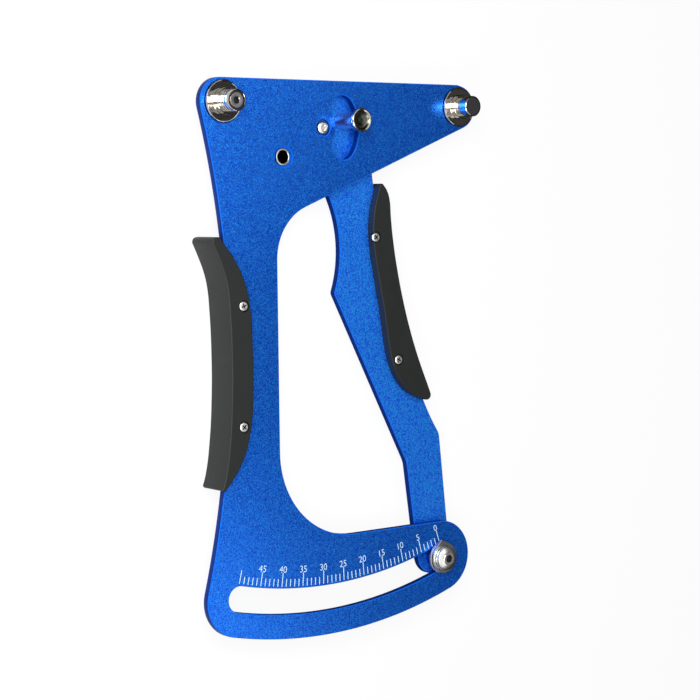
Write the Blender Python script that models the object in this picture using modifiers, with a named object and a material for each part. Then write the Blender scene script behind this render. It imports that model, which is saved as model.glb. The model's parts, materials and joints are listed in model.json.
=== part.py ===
"""Spoke tension meter, lying on its back.

A flat C-shaped body plate carries two fixed posts at its head and a curved
slot with a scale at its foot. Behind it a lever swings on a pivot screw: its
moving post pushes the spoke between the two fixed posts, a coil spring pulls
it back, and a pointer at its far end runs along the slot.

Sizes are in metres. The outlines are drawn in the plate's own plan, with the
pivot at its zero, +X towards the right-hand post and +Y towards the posts.
"""
import bpy
import bmesh
import numpy as np
from math import acos, asin, atan2, ceil, cos, degrees, hypot, pi, radians, sin, sqrt

# Thicknesses and levels
PLATE_THICKNESS = 0.0030
LEVER_THICKNESS = 0.0030
LEVER_GAP = 0.0009
GRIP_FRONT_HEIGHT = 0.0036
GRIP_BACK_HEIGHT = 0.0033
EDGE_CHAMFER = 0.0003

# Clearances
FIT_GAP = 0.0003
THIN_GAP = 0.0002
CUT_OVERRUN = 0.0010
MERGE_DISTANCE = 0.00001

# Body plate: head
POST_Y = 0.0089
LEFT_POST_X = -0.0453
RIGHT_POST_X = 0.0666
HEAD_TOP_MARGIN = 0.0010
HEAD_END_MARGIN = 0.0008
HEAD_END_DROP = 0.0001
HEAD_CORNER_RADIUS = 0.0089
HEAD_SHOULDER_RADIUS = 0.0020
HEAD_SHOULDER_INSET = 0.0003

# Body plate: column, window and the arm that carries the scale
BACK_EDGE_RADIUS = 0.3500
BACK_EDGE_X = -0.04354
BACK_EDGE_Y = -0.0816
WINDOW_X = -0.0220
WINDOW_TOP_RADIUS = 0.0208
WINDOW_TOP_Y = -0.0490
WINDOW_LOW_RADIUS = 0.0344
ARM_DEPTH = 0.0374
ARM_TIP_RADIUS = 0.01415
ARM_OUTER_RADIUS = 0.1926
FOOT_CORNER_RADIUS = 0.0140

# Scale slot, about the pivot, set in from the arm's outer edge; angles in degrees from straight down
SCALE_EDGE = 0.0142
SCALE_HALF_WIDTH = 0.0049
REST_ANGLE = 18.15
SWING_ANGLE = 31.5

# Slot for the moving post, about the pivot; angles in degrees from +X
KIDNEY_RADIUS = 0.01135
KIDNEY_HALF_WIDTH = 0.00555
KIDNEY_HIGH_ANGLE = 35.8
KIDNEY_LOW_ANGLE = -34.4

# Fixed posts
POST_HEIGHT = 0.0092
POST_RADIUS = 0.0040
POST_STEP_RADIUS = 0.0047
POST_STEP_HEIGHT = 0.0024
POST_FLANGE_RADIUS = 0.0077
POST_FLANGE_HEIGHT = 0.0010
POST_SEAT_DEPTH = 0.0005
POST_GROOVE_DEPTH = 0.0003
POST_GROOVE_WIDTH = 0.0005
POST_RIM = 0.0004
POST_NUB_RADIUS = 0.0029
POST_NUB_DROP = 0.0007
POST_EYE_RADIUS = 0.0009
POST_EYE_DEPTH = 0.0022
POST_THREAD_DEPTH = 0.0052
POST_CAP_THICKNESS = 0.0008
POST_SCREW_RADIUS = 0.0017
POST_SCREW_HEAD_RADIUS = 0.0034
POST_SCREW_HEAD_HEIGHT = 0.0020

# Moving post
MOVING_POST_ANGLE = 13.8
MOVING_POST_HEIGHT = 0.0097
MOVING_HEAD_RADIUS = 0.0045
MOVING_HEAD_THICKNESS = 0.0022
MOVING_CUP_DEPTH = 0.0012
MOVING_SHANK_RADIUS = 0.00305
MOVING_TAIL_RADIUS = 0.0020

# Pivot
PIVOT_HEAD_RADIUS = 0.0025
PIVOT_HEAD_SINK = 0.0010
PIVOT_HEAD_RISE = 0.0004
PIVOT_SHAFT_RADIUS = 0.0020
PIVOT_BUSH_WALL = 0.0013
PIVOT_WASHER_RADIUS = 0.0050
BACK_WASHER_RADIUS = 0.0042
BACK_WASHER_THICKNESS = 0.0005
SMALL_NUT_FLATS = 0.0070
NUT_LOW_Z = 0.0004

# Lever outline; shares of the scale's radius, from the pivot
LEVER_HEAD_RADIUS = 0.0127
LEVER_SHOULDER_RADIUS = 0.0122
LEVER_SHOULDER_Y = 0.0026
LEVER_WAIST_RADIUS = 0.0459
LEVER_WAIST_ANGLE = -127.65
LEVER_NOSE_ANGLE = -19.6
LEVER_NOSE_RADIUS = 0.0020
LEVER_HEEL_SHARES = (0.2360, -0.7332)
LEVER_HEEL_RADIUS = 0.0090
LEVER_END_SHARES = (0.3117, -0.9445)
LEVER_END_RADIUS = 0.0082
LEVER_ELBOW_ANGLE = -146.6
LEVER_ELBOW_RADIUS = 0.0061
LEVER_FLARE_ANGLE = -157.8
LEVER_FLARE_RADIUS = 0.1020
LEVER_EDGE_RADIUS = 0.3500
LEVER_EDGE_TOP_SHARES = (0.1471, -0.1029)
LEVER_EDGE_LOW_SHARES = (0.2859, -0.5998)
LEVER_EAR_RADIUS = 0.0039

# Return spring and its two studs
BODY_STUD = (-0.0187, -0.0110)
LEVER_STUD = (-0.0133, 0.0071)
STUD_EYE_RADIUS = 0.00225
STUD_EYE_DEPTH = 0.0030
STUD_RING_RADIUS = 0.00315
STUD_RING_SEAT_RADIUS = 0.0040
STUD_RING_SEAT_DEPTH = 0.0007
STUD_BODY_RADIUS = 0.0024
STUD_ROOT_RADIUS = 0.0020
STUD_NECK_RADIUS = 0.0015
STUD_TIP_RADIUS = 0.0022
STUD_TIP_THICKNESS = 0.0008
WIRE_RADIUS = 0.00045
COIL_RADIUS = 0.00095
COIL_TURNS = 7
COIL_PITCH = 0.00138
CURL_POINTS = 10
HOOK_LEG = 0.0037
HOOK_OPEN_ANGLE = 50.0

# Pointer stack on the lever's end
SPACER_RADIUS = 0.0042
SPACER_RISE = 0.0005
POINTER_WASHER_RADIUS = 0.0062
POINTER_WASHER_THICKNESS = 0.0010
POINTER_RADIUS = 0.0061
POINTER_REACH = 0.0076
POINTER_LEAN = 6.0
POINTER_TIP_RADIUS = 0.0003
POINTER_THICKNESS = 0.0010
POINTER_SCREW_RADIUS = 0.0025
POINTER_HEAD_RADIUS = 0.0048
POINTER_HEAD_HEIGHT = 0.0028
POINTER_SOCKET_FLATS = 0.0031
POINTER_SOCKET_DEPTH = 0.0016
POINTER_SOCKET_RIM = 0.0022
POINTER_NUT_FLATS = 0.0080

# Grips: outlines and screws as shares of a half length, along the arm, and of a width, into the plate
GRIP_WIDTH = 0.0102
GRIP_RIM = 0.0005
GRIP_BACK_RIM = 0.0005
LEFT_GRIP_MIDDLE_SHARE = 0.4502
LEFT_GRIP_HALF_LENGTH_SHARE = 0.2409
LEFT_GRIP_INNER_SHARES = ((-1.014, -0.64), (-0.95, -0.46), (-0.82, -0.045), (-0.70, 0.30), (-0.57, 0.53),
                          (-0.44, 0.66), (-0.36, 0.705), (-0.19, 0.727), (0.0, 0.75), (0.25, 0.725),
                          (0.38, 0.698), (0.505, 0.615), (0.63, 0.48), (0.72, 0.33), (0.87, -0.09),
                          (0.95, -0.40), (1.040, -0.790))
LEFT_GRIP_PALM_SHARES = ((0.87, -0.53), (0.60, -0.335), (0.25, -0.22), (-0.10, -0.20),
                         (-0.42, -0.255), (-0.60, -0.33), (-0.72, -0.46), (-0.86, -0.72), (-0.998, -1.02))
LEFT_GRIP_CORNER_RADII = (0.0008, 0.0007, 0.0017)
LEFT_SCREW_SHARES = ((-0.463, 0.37), (0.491, 0.31))
RIGHT_GRIP_MIDDLE_SHARE = 0.5074
RIGHT_GRIP_HALF_LENGTH_SHARE = 0.4791
RIGHT_GRIP_INNER_SHARES = ((-1.011, -0.04), (-0.925, 0.23), (-0.833, 0.47), (-0.736, 0.645), (-0.60, 0.825),
                           (-0.456, 0.935), (-0.18, 1.043), (0.10, 1.135), (0.30, 1.235), (0.44, 1.29),
                           (0.56, 1.295), (0.70, 1.19), (0.82, 0.97), (0.935, 0.51), (1.048, -0.204))
RIGHT_GRIP_PALM_SHARES = ((0.873, -0.108), (0.714, -0.011), (0.556, 0.067), (0.326, 0.132),
                          (0.101, 0.144), (-0.191, 0.093), (-0.477, -0.029), (-0.686, -0.176),
                          (-0.823, -0.295), (-0.915, -0.275), (-0.977, -0.166))
RIGHT_GRIP_CORNER_RADII = (0.0010, 0.0019, 0.0010)
RIGHT_SCREW_SHARES = ((-0.559, 0.72), (0.553, 0.975))

# Grip screws
GRIP_SCREW_RADIUS = 0.00125
GRIP_SCREW_HEAD_RADIUS = 0.0019
GRIP_SCREW_HEAD_HEIGHT = 0.0014
GRIP_SCREW_SINK = 0.0001
GRIP_SCREW_BITE = 0.0018
CROSS_WIDTH = 0.0005
CROSS_LENGTH = 0.0022
CROSS_DEPTH = 0.0008
LEFT_CROSS_TURNS = (22.0, 47.0)
RIGHT_CROSS_TURNS = (40.0, 63.0)

# Facets
ARC_STEP = 12.0
LONG_ARC_STEP = 0.0120
ROUND_STEPS = 32
SMALL_STEPS = 20
SMOOTH_ANGLE = 35.0

# Levels that follow from the sizes above
LEVER_BACK_Z = GRIP_BACK_HEIGHT
LEVER_FRONT_Z = LEVER_BACK_Z + LEVER_THICKNESS
PLATE_BACK_Z = LEVER_FRONT_Z + LEVER_GAP
PLATE_FRONT_Z = PLATE_BACK_Z + PLATE_THICKNESS
LEFT_GRIP_TOP_Z = PLATE_FRONT_Z + GRIP_FRONT_HEIGHT
RIGHT_GRIP_TOP_Z = LEVER_FRONT_Z + GRIP_FRONT_HEIGHT
SPRING_Z = LEVER_BACK_Z - FIT_GAP - COIL_RADIUS - WIRE_RADIUS

HEAD_TOP_Y = POST_Y + POST_FLANGE_RADIUS + HEAD_TOP_MARGIN
HEAD_END_RADIUS = POST_FLANGE_RADIUS + HEAD_END_MARGIN
ARM_TOP_Y = ARM_DEPTH - ARM_OUTER_RADIUS
SCALE_RADIUS = ARM_OUTER_RADIUS - SCALE_EDGE
BACK_EDGE_CENTRE = (BACK_EDGE_X - BACK_EDGE_RADIUS, BACK_EDGE_Y)
POINTER_PLACE = (SCALE_RADIUS * sin(radians(REST_ANGLE)), -SCALE_RADIUS * cos(radians(REST_ANGLE)))
MOVING_POST_PLACE = (KIDNEY_RADIUS * cos(radians(MOVING_POST_ANGLE)),
                     KIDNEY_RADIUS * sin(radians(MOVING_POST_ANGLE)))
LEVER_HEEL = (SCALE_RADIUS * LEVER_HEEL_SHARES[0], SCALE_RADIUS * LEVER_HEEL_SHARES[1])
LEVER_END = (SCALE_RADIUS * LEVER_END_SHARES[0], SCALE_RADIUS * LEVER_END_SHARES[1])
LEVER_EDGE_TOP = (SCALE_RADIUS * LEVER_EDGE_TOP_SHARES[0], SCALE_RADIUS * LEVER_EDGE_TOP_SHARES[1])
LEVER_EDGE_LOW = (SCALE_RADIUS * LEVER_EDGE_LOW_SHARES[0], SCALE_RADIUS * LEVER_EDGE_LOW_SHARES[1])


# Plan geometry

def circles_meet(first, first_radius, second, second_radius, turn):
    """Where two circles cross; turn is +1 for the crossing on the left of the line between them."""
    gap = hypot(second[0] - first[0], second[1] - first[1])
    along = (gap ** 2 + first_radius ** 2 - second_radius ** 2) / (2 * gap)
    aside = turn * sqrt(max(first_radius ** 2 - along ** 2, 0))
    ux = (second[0] - first[0]) / gap
    uy = (second[1] - first[1]) / gap
    return (first[0] + along * ux - aside * uy, first[1] + along * uy + aside * ux)


def corner_circle(before, corner, after, radius, turn):
    """Circle that rounds the corner of two straight edges, with its turn."""
    inward = atan2(before[1] - corner[1], before[0] - corner[0])
    outward = atan2(after[1] - corner[1], after[0] - corner[0])
    half = abs((outward - inward + pi) % (2 * pi) - pi) / 2
    middle = inward + ((outward - inward + pi) % (2 * pi) - pi) / 2
    reach = radius / sin(half)
    return ((corner[0] + reach * cos(middle), corner[1] + reach * sin(middle)), radius, turn)


def arc_points(centre, radius, start, sweep):
    """Points along an arc, its ends included; angles in radians."""
    by_angle = abs(degrees(sweep)) / ARC_STEP
    by_length = abs(sweep) * radius / LONG_ARC_STEP
    steps = max(ceil(by_angle), ceil(by_length), 1)
    angles = [start + sweep * i / steps for i in range(steps + 1)]
    return [(centre[0] + radius * cos(a), centre[1] + radius * sin(a)) for a in angles]


def belt(circles):
    """Closed outline that runs round circles in turn, joined by tangent lines.

    Each circle is (centre, radius, turn), with turn +1 where the outline
    bends to the left and -1 where it bends to the right.
    """
    directions = []
    for i, (centre, radius, turn) in enumerate(circles):
        following, next_radius, next_turn = circles[(i + 1) % len(circles)]
        gap = hypot(following[0] - centre[0], following[1] - centre[1])
        lean = (turn * radius - next_turn * next_radius) / gap
        base = atan2(following[1] - centre[1], following[0] - centre[0])
        directions.append(base + asin(max(-1, min(1, lean))))
    points = []
    for i, (centre, radius, turn) in enumerate(circles):
        entering = directions[i - 1]
        leaving = directions[i]
        sweep = (turn * (leaving - entering)) % (2 * pi)
        if sweep > 1.9 * pi:
            sweep = 0
        start = entering - turn * pi / 2
        points += arc_points(centre, radius, start, turn * sweep)
    return points


def arc_slot(radius, half_width, start, sweep):
    """Outline of a slot that curves about the pivot."""
    first = (radius * cos(start), radius * sin(start))
    last = (radius * cos(start + sweep), radius * sin(start + sweep))
    outline = arc_points((0, 0), radius + half_width, start, sweep)
    outline += arc_points(last, half_width, start + sweep, pi)[1:-1]
    outline += arc_points((0, 0), radius - half_width, start + sweep, -sweep)
    outline += arc_points(first, half_width, start + pi, pi)[1:-1]
    return outline


def circle_outline(centre, radius, steps=SMALL_STEPS):
    """A full circle as a closed outline."""
    angles = [2 * pi * i / steps for i in range(steps)]
    return [(centre[0] + radius * cos(a), centre[1] + radius * sin(a)) for a in angles]


def hexagon_outline(centre, flats):
    """A hexagon of the given width across its flats."""
    reach = flats / sqrt(3)
    angles = [pi * i / 3 for i in range(6)]
    return [(centre[0] + reach * cos(a), centre[1] + reach * sin(a)) for a in angles]


def smooth_run(points, step):
    """A smooth curve through points, as a run of short straight pieces."""
    run = [points[0]]
    for i in range(len(points) - 1):
        before = points[max(i - 1, 0)]
        here = points[i]
        there = points[i + 1]
        after = points[min(i + 2, len(points) - 1)]
        pieces = max(ceil(hypot(there[0] - here[0], there[1] - here[1]) / step), 1)
        for j in range(1, pieces + 1):
            t = j / pieces
            run.append(tuple(0.5 * (2 * here[k] + (there[k] - before[k]) * t
                                    + (2 * before[k] - 5 * here[k] + 4 * there[k] - after[k]) * t ** 2
                                    + (3 * here[k] - before[k] - 3 * there[k] + after[k]) * t ** 3)
                             for k in (0, 1)))
    return run


def soften(points, radii):
    """Round marked corners of a closed outline; radii maps a point's number to its radius."""
    count = len(points)
    rounds = {}
    for i, radius in radii.items():
        before, corner, after = points[i - 1], points[i], points[(i + 1) % count]
        inward = atan2(before[1] - corner[1], before[0] - corner[0])
        outward = atan2(after[1] - corner[1], after[0] - corner[0])
        turn = (outward - inward + pi) % (2 * pi) - pi
        side = 1 if turn > 0 else -1
        reach = radius / sin(abs(turn) / 2)
        centre = (corner[0] + reach * cos(inward + turn / 2), corner[1] + reach * sin(inward + turn / 2))
        sweep = side * (pi - abs(turn))
        arc = arc_points(centre, radius, inward - side * pi / 2, -sweep)
        rounds[i] = (corner, reach * cos(turn / 2), arc)
    result = []
    for i, point in enumerate(points):
        if i in rounds:
            result += rounds[i][2]
        elif all(hypot(point[0] - corner[0], point[1] - corner[1]) > near
                 for corner, near, arc in rounds.values()):
            result.append(point)
    return result


def body_outline():
    """Outer edge of the C-shaped body plate."""
    corner_y = HEAD_TOP_Y - HEAD_CORNER_RADIUS
    reach = BACK_EDGE_RADIUS + HEAD_CORNER_RADIUS
    corner_x = BACK_EDGE_CENTRE[0] + sqrt(reach ** 2 - (corner_y - BACK_EDGE_CENTRE[1]) ** 2)
    foot = foot_corner()
    tip_y = ARM_TOP_Y - ARM_TIP_RADIUS
    tip_x = sqrt((ARM_OUTER_RADIUS - ARM_TIP_RADIUS) ** 2 - tip_y ** 2)
    return belt([
        ((corner_x, corner_y), HEAD_CORNER_RADIUS, 1),
        (BACK_EDGE_CENTRE, BACK_EDGE_RADIUS, -1),
        (foot, FOOT_CORNER_RADIUS, 1),
        ((0, 0), ARM_OUTER_RADIUS, 1),
        ((tip_x, tip_y), ARM_TIP_RADIUS, 1),
        ((WINDOW_X + WINDOW_LOW_RADIUS, ARM_TOP_Y + WINDOW_LOW_RADIUS), WINDOW_LOW_RADIUS, -1),
        ((WINDOW_X + WINDOW_TOP_RADIUS, WINDOW_TOP_Y), WINDOW_TOP_RADIUS, -1),
        ((RIGHT_POST_X, POST_Y - HEAD_END_DROP), HEAD_END_RADIUS, 1),
        ((RIGHT_POST_X - HEAD_SHOULDER_INSET, HEAD_TOP_Y - HEAD_SHOULDER_RADIUS), HEAD_SHOULDER_RADIUS, 1),
    ])


def foot_corner():
    """Centre of the body plate's lower left corner."""
    return circles_meet((0, 0), ARM_OUTER_RADIUS - FOOT_CORNER_RADIUS,
                        BACK_EDGE_CENTRE, BACK_EDGE_RADIUS + FOOT_CORNER_RADIUS, 1)


def lever_edge_centre():
    """Centre of the long curve along the lever's outer edge."""
    return circles_meet(LEVER_EDGE_TOP, LEVER_EDGE_RADIUS, LEVER_EDGE_LOW, LEVER_EDGE_RADIUS, 1)


def beyond(centre, reach, angle):
    """Place at a distance from a centre, at an angle in degrees from +X."""
    return (centre[0] + reach * cos(radians(angle)), centre[1] + reach * sin(radians(angle)))


def lever_outline():
    """Outer edge of the lever."""
    edge = lever_edge_centre()
    shoulder_reach = LEVER_EDGE_RADIUS + LEVER_SHOULDER_RADIUS
    shoulder_x = edge[0] - sqrt(shoulder_reach ** 2 - (LEVER_SHOULDER_Y - edge[1]) ** 2)
    waist = beyond((0, 0), LEVER_HEAD_RADIUS + LEVER_WAIST_RADIUS, LEVER_WAIST_ANGLE)
    nose = beyond(waist, LEVER_WAIST_RADIUS + LEVER_NOSE_RADIUS, LEVER_NOSE_ANGLE)
    flare = beyond(edge, LEVER_EDGE_RADIUS - LEVER_FLARE_RADIUS, LEVER_FLARE_ANGLE)
    elbow = beyond(flare, LEVER_FLARE_RADIUS + LEVER_ELBOW_RADIUS, LEVER_ELBOW_ANGLE)
    return belt([
        ((shoulder_x, LEVER_SHOULDER_Y), LEVER_SHOULDER_RADIUS, 1),
        (LEVER_STUD, LEVER_EAR_RADIUS, 1),
        ((0, 0), LEVER_HEAD_RADIUS, 1),
        (waist, LEVER_WAIST_RADIUS, -1),
        (nose, LEVER_NOSE_RADIUS, 1),
        corner_circle(nose, LEVER_HEEL, (LEVER_END[0] - LEVER_END_RADIUS, LEVER_END[1]),
                      LEVER_HEEL_RADIUS, -1),
        (LEVER_END, LEVER_END_RADIUS, 1),
        (elbow, LEVER_ELBOW_RADIUS, 1),
        (flare, LEVER_FLARE_RADIUS, -1),
        (edge, LEVER_EDGE_RADIUS, -1),
    ])


def left_grip_frame():
    """Middle of the left grip on the body plate's back edge, its way down and in, and its half length."""
    origin = (BACK_EDGE_X, -LEFT_GRIP_MIDDLE_SHARE * ARM_OUTER_RADIUS)
    return origin, (0, -1), (1, 0), LEFT_GRIP_HALF_LENGTH_SHARE * ARM_OUTER_RADIUS


def right_grip_frame():
    """Middle of the right grip on the chord of the lever's edge, its way down and in, and its half length."""
    run = (LEVER_EDGE_LOW[0] - LEVER_EDGE_TOP[0], LEVER_EDGE_LOW[1] - LEVER_EDGE_TOP[1])
    length = hypot(*run)
    down = (run[0] / length, run[1] / length)
    origin = (LEVER_EDGE_TOP[0] + RIGHT_GRIP_MIDDLE_SHARE * run[0],
              LEVER_EDGE_TOP[1] + RIGHT_GRIP_MIDDLE_SHARE * run[1])
    return origin, down, (down[1], -down[0]), RIGHT_GRIP_HALF_LENGTH_SHARE * length


def on_grip(frame, share):
    """Place on a grip from its share along and its share across."""
    origin, down, inward, half_length = frame
    along = share[0] * half_length
    across = share[1] * GRIP_WIDTH
    return (origin[0] + along * down[0] + across * inward[0],
            origin[1] + along * down[1] + across * inward[1])


def grip_outline(frame, inner_shares, palm_shares, corner_radii):
    """Outline of a grip that lies along an arm's edge."""
    step = GRIP_WIDTH / 2
    inner = smooth_run([on_grip(frame, share) for share in inner_shares], step)
    palm = smooth_run([on_grip(frame, share) for share in (inner_shares[-1],) + palm_shares], step)
    outline = inner + palm[1:]
    corners = (0, len(inner) - 1, len(outline) - 1)
    return soften(outline, dict(zip(corners, corner_radii)))


# Solids

def clear_scene():
    """Remove every object of the start scene."""
    for item in list(bpy.data.objects):
        bpy.data.objects.remove(item, do_unlink=True)


def new_collection(name):
    """A collection of the scene."""
    group = bpy.data.collections.new(name)
    bpy.context.scene.collection.children.link(group)
    return group


def make_material(name, colour, roughness, metallic):
    """A plain Principled material."""
    material = bpy.data.materials.new(name)
    material.use_nodes = True
    shader = material.node_tree.nodes["Principled BSDF"]
    shader.inputs["Base Color"].default_value = (*colour, 1)
    shader.inputs["Roughness"].default_value = roughness
    shader.inputs["Metallic"].default_value = metallic
    return material


def new_object(name, mesh, group, material=None):
    """An object of a mesh in a collection."""
    item = bpy.data.objects.new(name, mesh)
    group.objects.link(item)
    if material:
        mesh.materials.append(material)
    return item


def to_mesh(item, name, group, material):
    """An object's evaluated surface as a closed mesh object, in the object's place."""
    bpy.context.view_layer.update()
    evaluated = item.evaluated_get(bpy.context.evaluated_depsgraph_get())
    mesh = bpy.data.meshes.new_from_object(evaluated)
    mesh.name = name
    work = bmesh.new()
    work.from_mesh(mesh)
    bmesh.ops.remove_doubles(work, verts=work.verts, dist=MERGE_DISTANCE)
    bmesh.ops.recalc_face_normals(work, faces=work.faces)
    work.to_mesh(mesh)
    work.free()
    mesh.shade_smooth()
    mesh.set_sharp_from_angle(angle=radians(SMOOTH_ANGLE))
    mesh.materials.clear()
    result = new_object(name, mesh, group, material)
    result.matrix_world = item.matrix_world
    bpy.data.objects.remove(item, do_unlink=True)
    return result


def wound(outline, turn):
    """A closed outline without doubled points, run to the left for turn +1 and to the right for -1."""
    points = [here for here, before in zip(outline, outline[-1:] + outline[:-1])
              if hypot(here[0] - before[0], here[1] - before[1]) > THIN_GAP / 2]
    area = sum(before[0] * here[1] - here[0] * before[1]
               for here, before in zip(points, points[-1:] + points[:-1]))
    return points if area * turn > 0 else points[::-1]


def flat_piece(name, outlines, low, high, group, material=None, rim=0):
    """A flat piece from its outer outline and its holes, between two levels, with its rims broken."""
    curve = bpy.data.curves.new(name, "CURVE")
    curve.dimensions = "2D"
    curve.fill_mode = "BOTH"
    curve.extrude = (high - low) / 2 - rim
    curve.bevel_depth = rim
    curve.bevel_resolution = 0
    curve.offset = -rim
    for number, outline in enumerate(outlines):
        outline = wound(outline, -1 if number else 1)
        spline = curve.splines.new("POLY")
        spline.points.add(len(outline) - 1)
        for point, (x, y) in zip(spline.points, outline):
            point.co = (x, y, 0, 1)
        spline.use_cyclic_u = True
    item = new_object(name + "_outline", curve, group)
    item.location.z = (low + high) / 2
    return to_mesh(item, name, group, material)


def break_rim(item, width, front):
    """Break the edges of a piece's front or back face only."""
    work = bmesh.new()
    work.from_mesh(item.data)
    heights = [vertex.co.z for vertex in work.verts]
    level = max(heights) if front else min(heights)
    cap = [face for face in work.faces if all(abs(v.co.z - level) < MERGE_DISTANCE for v in face.verts)]
    bmesh.ops.dissolve_faces(work, faces=cap)
    layer = work.edges.layers.float.new("bevel_weight_edge")
    for edge in work.edges:
        at_level = all(abs(vertex.co.z - level) < MERGE_DISTANCE for vertex in edge.verts)
        edge[layer] = 1 if at_level and edge.calc_face_angle() > radians(SMOOTH_ANGLE) else 0
    work.to_mesh(item.data)
    work.free()
    bevel = item.modifiers.new("rim", "BEVEL")
    bevel.width = width
    bevel.segments = 1
    bevel.limit_method = "WEIGHT"


def turned_piece(name, profile, place, group, material, steps=ROUND_STEPS, hollow=False):
    """A turned piece from its half profile, (radius, height) from the top down the outer side."""
    mesh = bpy.data.meshes.new(name)
    edges = [(i, i + 1) for i in range(len(profile) - 1)]
    if hollow:
        edges.append((len(profile) - 1, 0))
    mesh.from_pydata([(radius, 0, height) for radius, height in profile], edges, [])
    item = new_object(name + "_profile", mesh, group)
    item.location = (place[0], place[1], 0)
    screw = item.modifiers.new("turn", "SCREW")
    screw.axis = "Z"
    screw.steps = steps
    screw.render_steps = steps
    screw.use_merge_vertices = True
    screw.merge_threshold = MERGE_DISTANCE
    return to_mesh(item, name, group, material)


def cut(item, cutter):
    """Take a cutter out of a piece, and keep the cutter as a guide."""
    cutter.hide_render = True
    cutter.display_type = "WIRE"
    boolean = item.modifiers.new("cut", "BOOLEAN")
    boolean.operation = "DIFFERENCE"
    boolean.solver = "EXACT"
    boolean.object = cutter
    return item


def carry(pieces, parent):
    """Parent pieces to an empty and leave them where they are."""
    for piece in pieces:
        piece.parent = parent
        piece.matrix_parent_inverse = parent.matrix_world.inverted()


# Pieces of the body

def make_body_plate(group, cutters, blue):
    """C-shaped plate with the scale slot, the slot for the moving post and its seats."""
    scale_start = radians(REST_ANGLE - 90)
    holes = [arc_slot(SCALE_RADIUS, SCALE_HALF_WIDTH, scale_start - radians(SWING_ANGLE), radians(SWING_ANGLE)),
             arc_slot(KIDNEY_RADIUS, KIDNEY_HALF_WIDTH, radians(KIDNEY_LOW_ANGLE),
                      radians(KIDNEY_HIGH_ANGLE - KIDNEY_LOW_ANGLE)),
             circle_outline((0, 0), PIVOT_SHAFT_RADIUS + FIT_GAP),
             circle_outline(BODY_STUD, STUD_RING_RADIUS + FIT_GAP, ROUND_STEPS),
             circle_outline((LEFT_POST_X, POST_Y), POST_SCREW_RADIUS + FIT_GAP),
             circle_outline((RIGHT_POST_X, POST_Y), POST_SCREW_RADIUS + FIT_GAP)]
    holes += [circle_outline(place, GRIP_SCREW_RADIUS + FIT_GAP) for place in left_screws()]
    plate = flat_piece("body_plate", [body_outline()] + holes, PLATE_BACK_Z, PLATE_FRONT_Z, group, blue,
                       EDGE_CHAMFER)
    seats = [("stud_ring_seat", BODY_STUD, STUD_RING_SEAT_RADIUS, STUD_RING_SEAT_DEPTH),
             ("left_post_seat", (LEFT_POST_X, POST_Y), POST_FLANGE_RADIUS + FIT_GAP, POST_SEAT_DEPTH),
             ("right_post_seat", (RIGHT_POST_X, POST_Y), POST_FLANGE_RADIUS + FIT_GAP, POST_SEAT_DEPTH),
             ("pivot_head_seat", (0, 0), PIVOT_HEAD_RADIUS + 2 * FIT_GAP, PIVOT_HEAD_SINK + FIT_GAP)]
    for name, place, radius, depth in seats:
        outline = circle_outline(place, radius, ROUND_STEPS)
        cut(plate, flat_piece(name, [outline], PLATE_FRONT_Z - depth, PLATE_FRONT_Z + CUT_OVERRUN, cutters))
    return plate


def post_profile(tip_profile, grooves):
    """Half profile of a fixed post: its tip, shank, step, flange and screw hole."""
    top = PLATE_FRONT_Z + POST_HEIGHT
    flange_top = PLATE_FRONT_Z + POST_FLANGE_HEIGHT
    step_top = flange_top + POST_STEP_HEIGHT
    low = PLATE_FRONT_Z - POST_SEAT_DEPTH + THIN_GAP
    profile = [(radius, top - drop) for radius, drop in tip_profile]
    pitch = (top - step_top) / (grooves + 1)
    for i in range(grooves):
        middle = top - pitch * (i + 1)
        profile += [(POST_RADIUS, middle + POST_GROOVE_WIDTH / 2),
                    (POST_RADIUS - POST_GROOVE_DEPTH, middle),
                    (POST_RADIUS, middle - POST_GROOVE_WIDTH / 2)]
    profile += [(POST_RADIUS, step_top), (POST_STEP_RADIUS, step_top - POST_GROOVE_DEPTH),
                (POST_STEP_RADIUS, flange_top), (POST_FLANGE_RADIUS - POST_RIM, flange_top),
                (POST_FLANGE_RADIUS, flange_top - POST_RIM), (POST_FLANGE_RADIUS, low),
                (POST_SCREW_RADIUS + THIN_GAP, low),
                (POST_SCREW_RADIUS + THIN_GAP, low + POST_THREAD_DEPTH), (0, low + POST_THREAD_DEPTH)]
    return profile


def make_left_post(group, chrome):
    """Left fixed post, with a ringed and drilled end."""
    tip = [(0, POST_EYE_DEPTH), (POST_EYE_RADIUS, POST_EYE_DEPTH), (POST_EYE_RADIUS, POST_RIM),
           (POST_NUB_RADIUS - POST_RIM, POST_RIM / 2), (POST_NUB_RADIUS, POST_RIM),
           (POST_NUB_RADIUS, POST_NUB_DROP), (POST_RADIUS - POST_RIM, POST_NUB_DROP),
           (POST_RADIUS - POST_RIM, 0), (POST_RADIUS - POST_RIM / 2, 0), (POST_RADIUS, POST_RIM / 2)]
    return turned_piece("left_post", post_profile(tip, 3), (LEFT_POST_X, POST_Y), group, chrome)


def make_right_post(group, chrome):
    """Right fixed post, with a pocket for its end disc."""
    pocket = POST_RADIUS - POST_RIM
    tip = [(0, POST_CAP_THICKNESS), (pocket, POST_CAP_THICKNESS), (pocket, 0), (POST_RADIUS, POST_RIM)]
    return turned_piece("right_post", post_profile(tip, 0), (RIGHT_POST_X, POST_Y), group, chrome)


def make_right_post_cap(group, rubber):
    """Dark disc let into the end of the right post."""
    radius = POST_RADIUS - POST_RIM - THIN_GAP
    top = PLATE_FRONT_Z + POST_HEIGHT
    low = top - POST_CAP_THICKNESS + THIN_GAP
    return turned_piece("right_post_cap", [(0, top), (radius, top), (radius, low), (0, low)],
                        (RIGHT_POST_X, POST_Y), group, rubber)


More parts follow.
